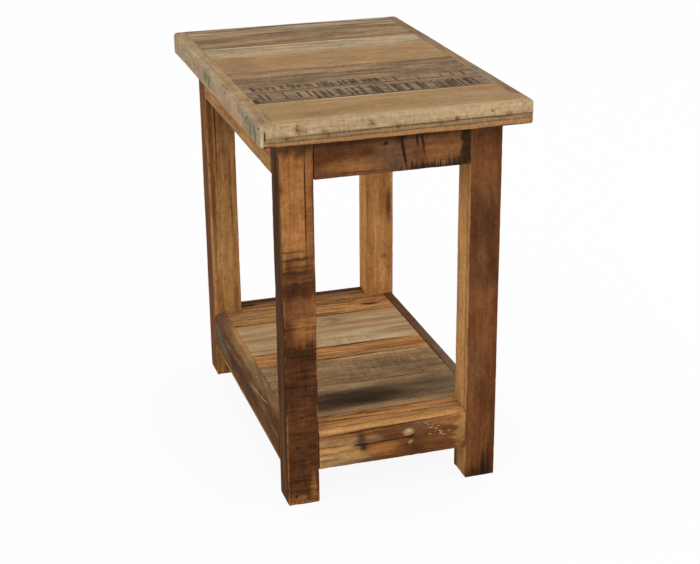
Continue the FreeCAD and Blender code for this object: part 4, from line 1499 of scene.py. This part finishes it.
class TABLE_OT_hidden_pieces(bpy.types.Operator):
    """Finish the cleats and the screws"""
    bl_idname = "table.hidden_pieces"
    bl_label = "Cleats and screws"

    def execute(self, context):
        steel = screw_steel()
        for node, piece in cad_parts.items():
            if node.endswith("screws"):
                give(piece, steel)
            elif "cleat_" in node:
                grain = "X" if node.endswith(("front", "back")) else "Y"
                low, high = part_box(node)
                look = Look(grain, "tan", "chestnut", "orange", contrast=0.5, figure=0.3,
                            veins=0.4, pith=(50, 40), seed=60 + len(node))
                give(piece, timber(f"{node}_timber", look, (low + high) / 2 / MM))
        return {"FINISHED"}


# Stage: camera, floor and light.

FLOOR_WIDTH = 30
# How much of the floor's white is its own glow. The rest keeps the shadow.
FLOOR_GLOW = 0.92
KEY_PLACE, KEY_WIDTH = (0.9, -2.4, 2.3), 1.6
SIDE_PLACE, SIDE_WIDTH = (2.4, -0.2, 1.5), 1.2
LAMPS_AIM = (0, 0, 0.35)


def seen_straight(shader):
    """1 where the camera sees a thing, also by way of metal or glass, and else 0."""
    rays = shader.outputs(shader.node("ShaderNodeLightPath"))
    shown = shader.math("MAXIMUM", rays["Is Camera Ray"], rays["Is Glossy Ray"])
    return shader.math("MAXIMUM", shown, rays["Is Transmission Ray"])


def plain_floor():
    """Pale floor that shows white to the camera and keeps the table's shadow."""
    shader = Shader(bpy.data.materials.new("pale_floor"))
    surface = shader.tree.nodes["Principled BSDF"]
    shader.feed(surface, {"Base Color": linear("floor"), "Roughness": 0.9})
    glow = shader.node("ShaderNodeEmission", inputs={"Color": WHITE, "Strength": 1})
    blend = shader.node("ShaderNodeMixShader", inputs={
        0: seen_straight(shader) * FLOOR_GLOW, 1: Value(shader, surface.outputs[0]), 2: glow})
    shader.feed(shader.tree.nodes["Material Output"], {"Surface": blend})
    return shader.owner


def white_world(strength):
    """Even light from all round, which shows white behind the table."""
    shader = Shader(bpy.data.worlds.new("studio"))
    sky = shader.tree.nodes["Background"]
    shader.feed(sky, {"Color": WHITE, "Strength": strength})
    white = shader.node("ShaderNodeBackground", inputs={"Color": WHITE, "Strength": 1})
    blend = shader.node("ShaderNodeMixShader", inputs={
        0: seen_straight(shader), 1: Value(shader, sky.outputs[0]), 2: white})
    shader.feed(shader.tree.nodes["World Output"], {"Surface": blend})
    return shader.owner


def soft_light(name, place, width, power):
    """Round lamp that points at the table."""
    lamp = bpy.data.lights.new(name, "AREA")
    lamp.shape = "DISK"
    lamp.size = width
    lamp.energy = power
    made = bpy.data.objects.new(name, lamp)
    bpy.context.scene.collection.objects.link(made)
    made.location = place
    aim = Vector(LAMPS_AIM) - Vector(place)
    made.rotation_euler = aim.to_track_quat("-Z", "Y").to_euler()


class TABLE_OT_stage(bpy.types.Operator):
    """Set up the camera, the floor and the lights"""
    bl_idname = "table.stage"
    bl_label = "Stage"

    def execute(self, context):
        scene = context.scene
        view = scene.table_view
        lens = bpy.data.cameras.new("view")
        lens.sensor_width = SENSOR
        lens.lens = view.focal
        lens.clip_end = 2 * FLOOR_WIDTH
        camera = bpy.data.objects.new("view", lens)
        scene.collection.objects.link(camera)
        turn = (Matrix.Rotation(view.azimuth, 3, "Z")
                @ Matrix.Rotation(math.pi / 2 - view.elevation, 3, "X")
                @ Matrix.Rotation(view.roll, 3, "Z"))
        camera.rotation_euler = turn.to_euler()
        camera.location = view.place
        scene.camera = camera

        bpy.ops.object.select_all(action="DESELECT")
        bpy.ops.mesh.primitive_plane_add(size=FLOOR_WIDTH, location=(0, 0, 0))
        floor = context.object
        floor.name = "floor"
        floor.data.materials.append(plain_floor())

        soft_light("key", KEY_PLACE, KEY_WIDTH, view.key_power)
        soft_light("side", SIDE_PLACE, SIDE_WIDTH, view.side_power)
        scene.world = white_world(view.sky)
        scene.view_settings.view_transform = "Standard"
        return {"FINISHED"}


OPERATORS = (TABLE_OT_stage, TABLE_OT_legs, TABLE_OT_aprons, TABLE_OT_rails,
             TABLE_OT_top_boards, TABLE_OT_top_borders, TABLE_OT_shelf_boards,
             TABLE_OT_hidden_pieces)


class TABLE_PT_panel(bpy.types.Panel):
    """The table's sizes, tones and steps"""
    bl_idname = "TABLE_PT_panel"
    bl_label = "Side Table"
    bl_space_type = "VIEW_3D"
    bl_region_type = "UI"
    bl_category = "Side Table"

    def draw(self, context):
        for operator in OPERATORS:
            self.layout.operator(operator.bl_idname)
        for group in (context.scene.table_sizes, context.scene.table_tones,
                      context.scene.table_view):
            box = self.layout.box()
            for name in group.bl_rna.properties.keys():
                if name not in ("rna_type", "name"):
                    box.prop(group, name)


CLASSES = (TableSizes, TableTones, TableView) + OPERATORS + (TABLE_PT_panel,)


def register():
    for made in CLASSES:
        bpy.utils.register_class(made)
    bpy.types.Scene.table_sizes = PointerProperty(type=TableSizes)
    bpy.types.Scene.table_tones = PointerProperty(type=TableTones)
    bpy.types.Scene.table_view = PointerProperty(type=TableView)


def unregister():
    del bpy.types.Scene.table_view
    del bpy.types.Scene.table_tones
    del bpy.types.Scene.table_sizes
    for made in reversed(CLASSES):
        bpy.utils.unregister_class(made)


def main():
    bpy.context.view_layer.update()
    register()
    for operator in OPERATORS:
        group, name = operator.bl_idname.split(".")
        getattr(getattr(bpy.ops, group), name)()


if __name__ == "__main__":
    main()
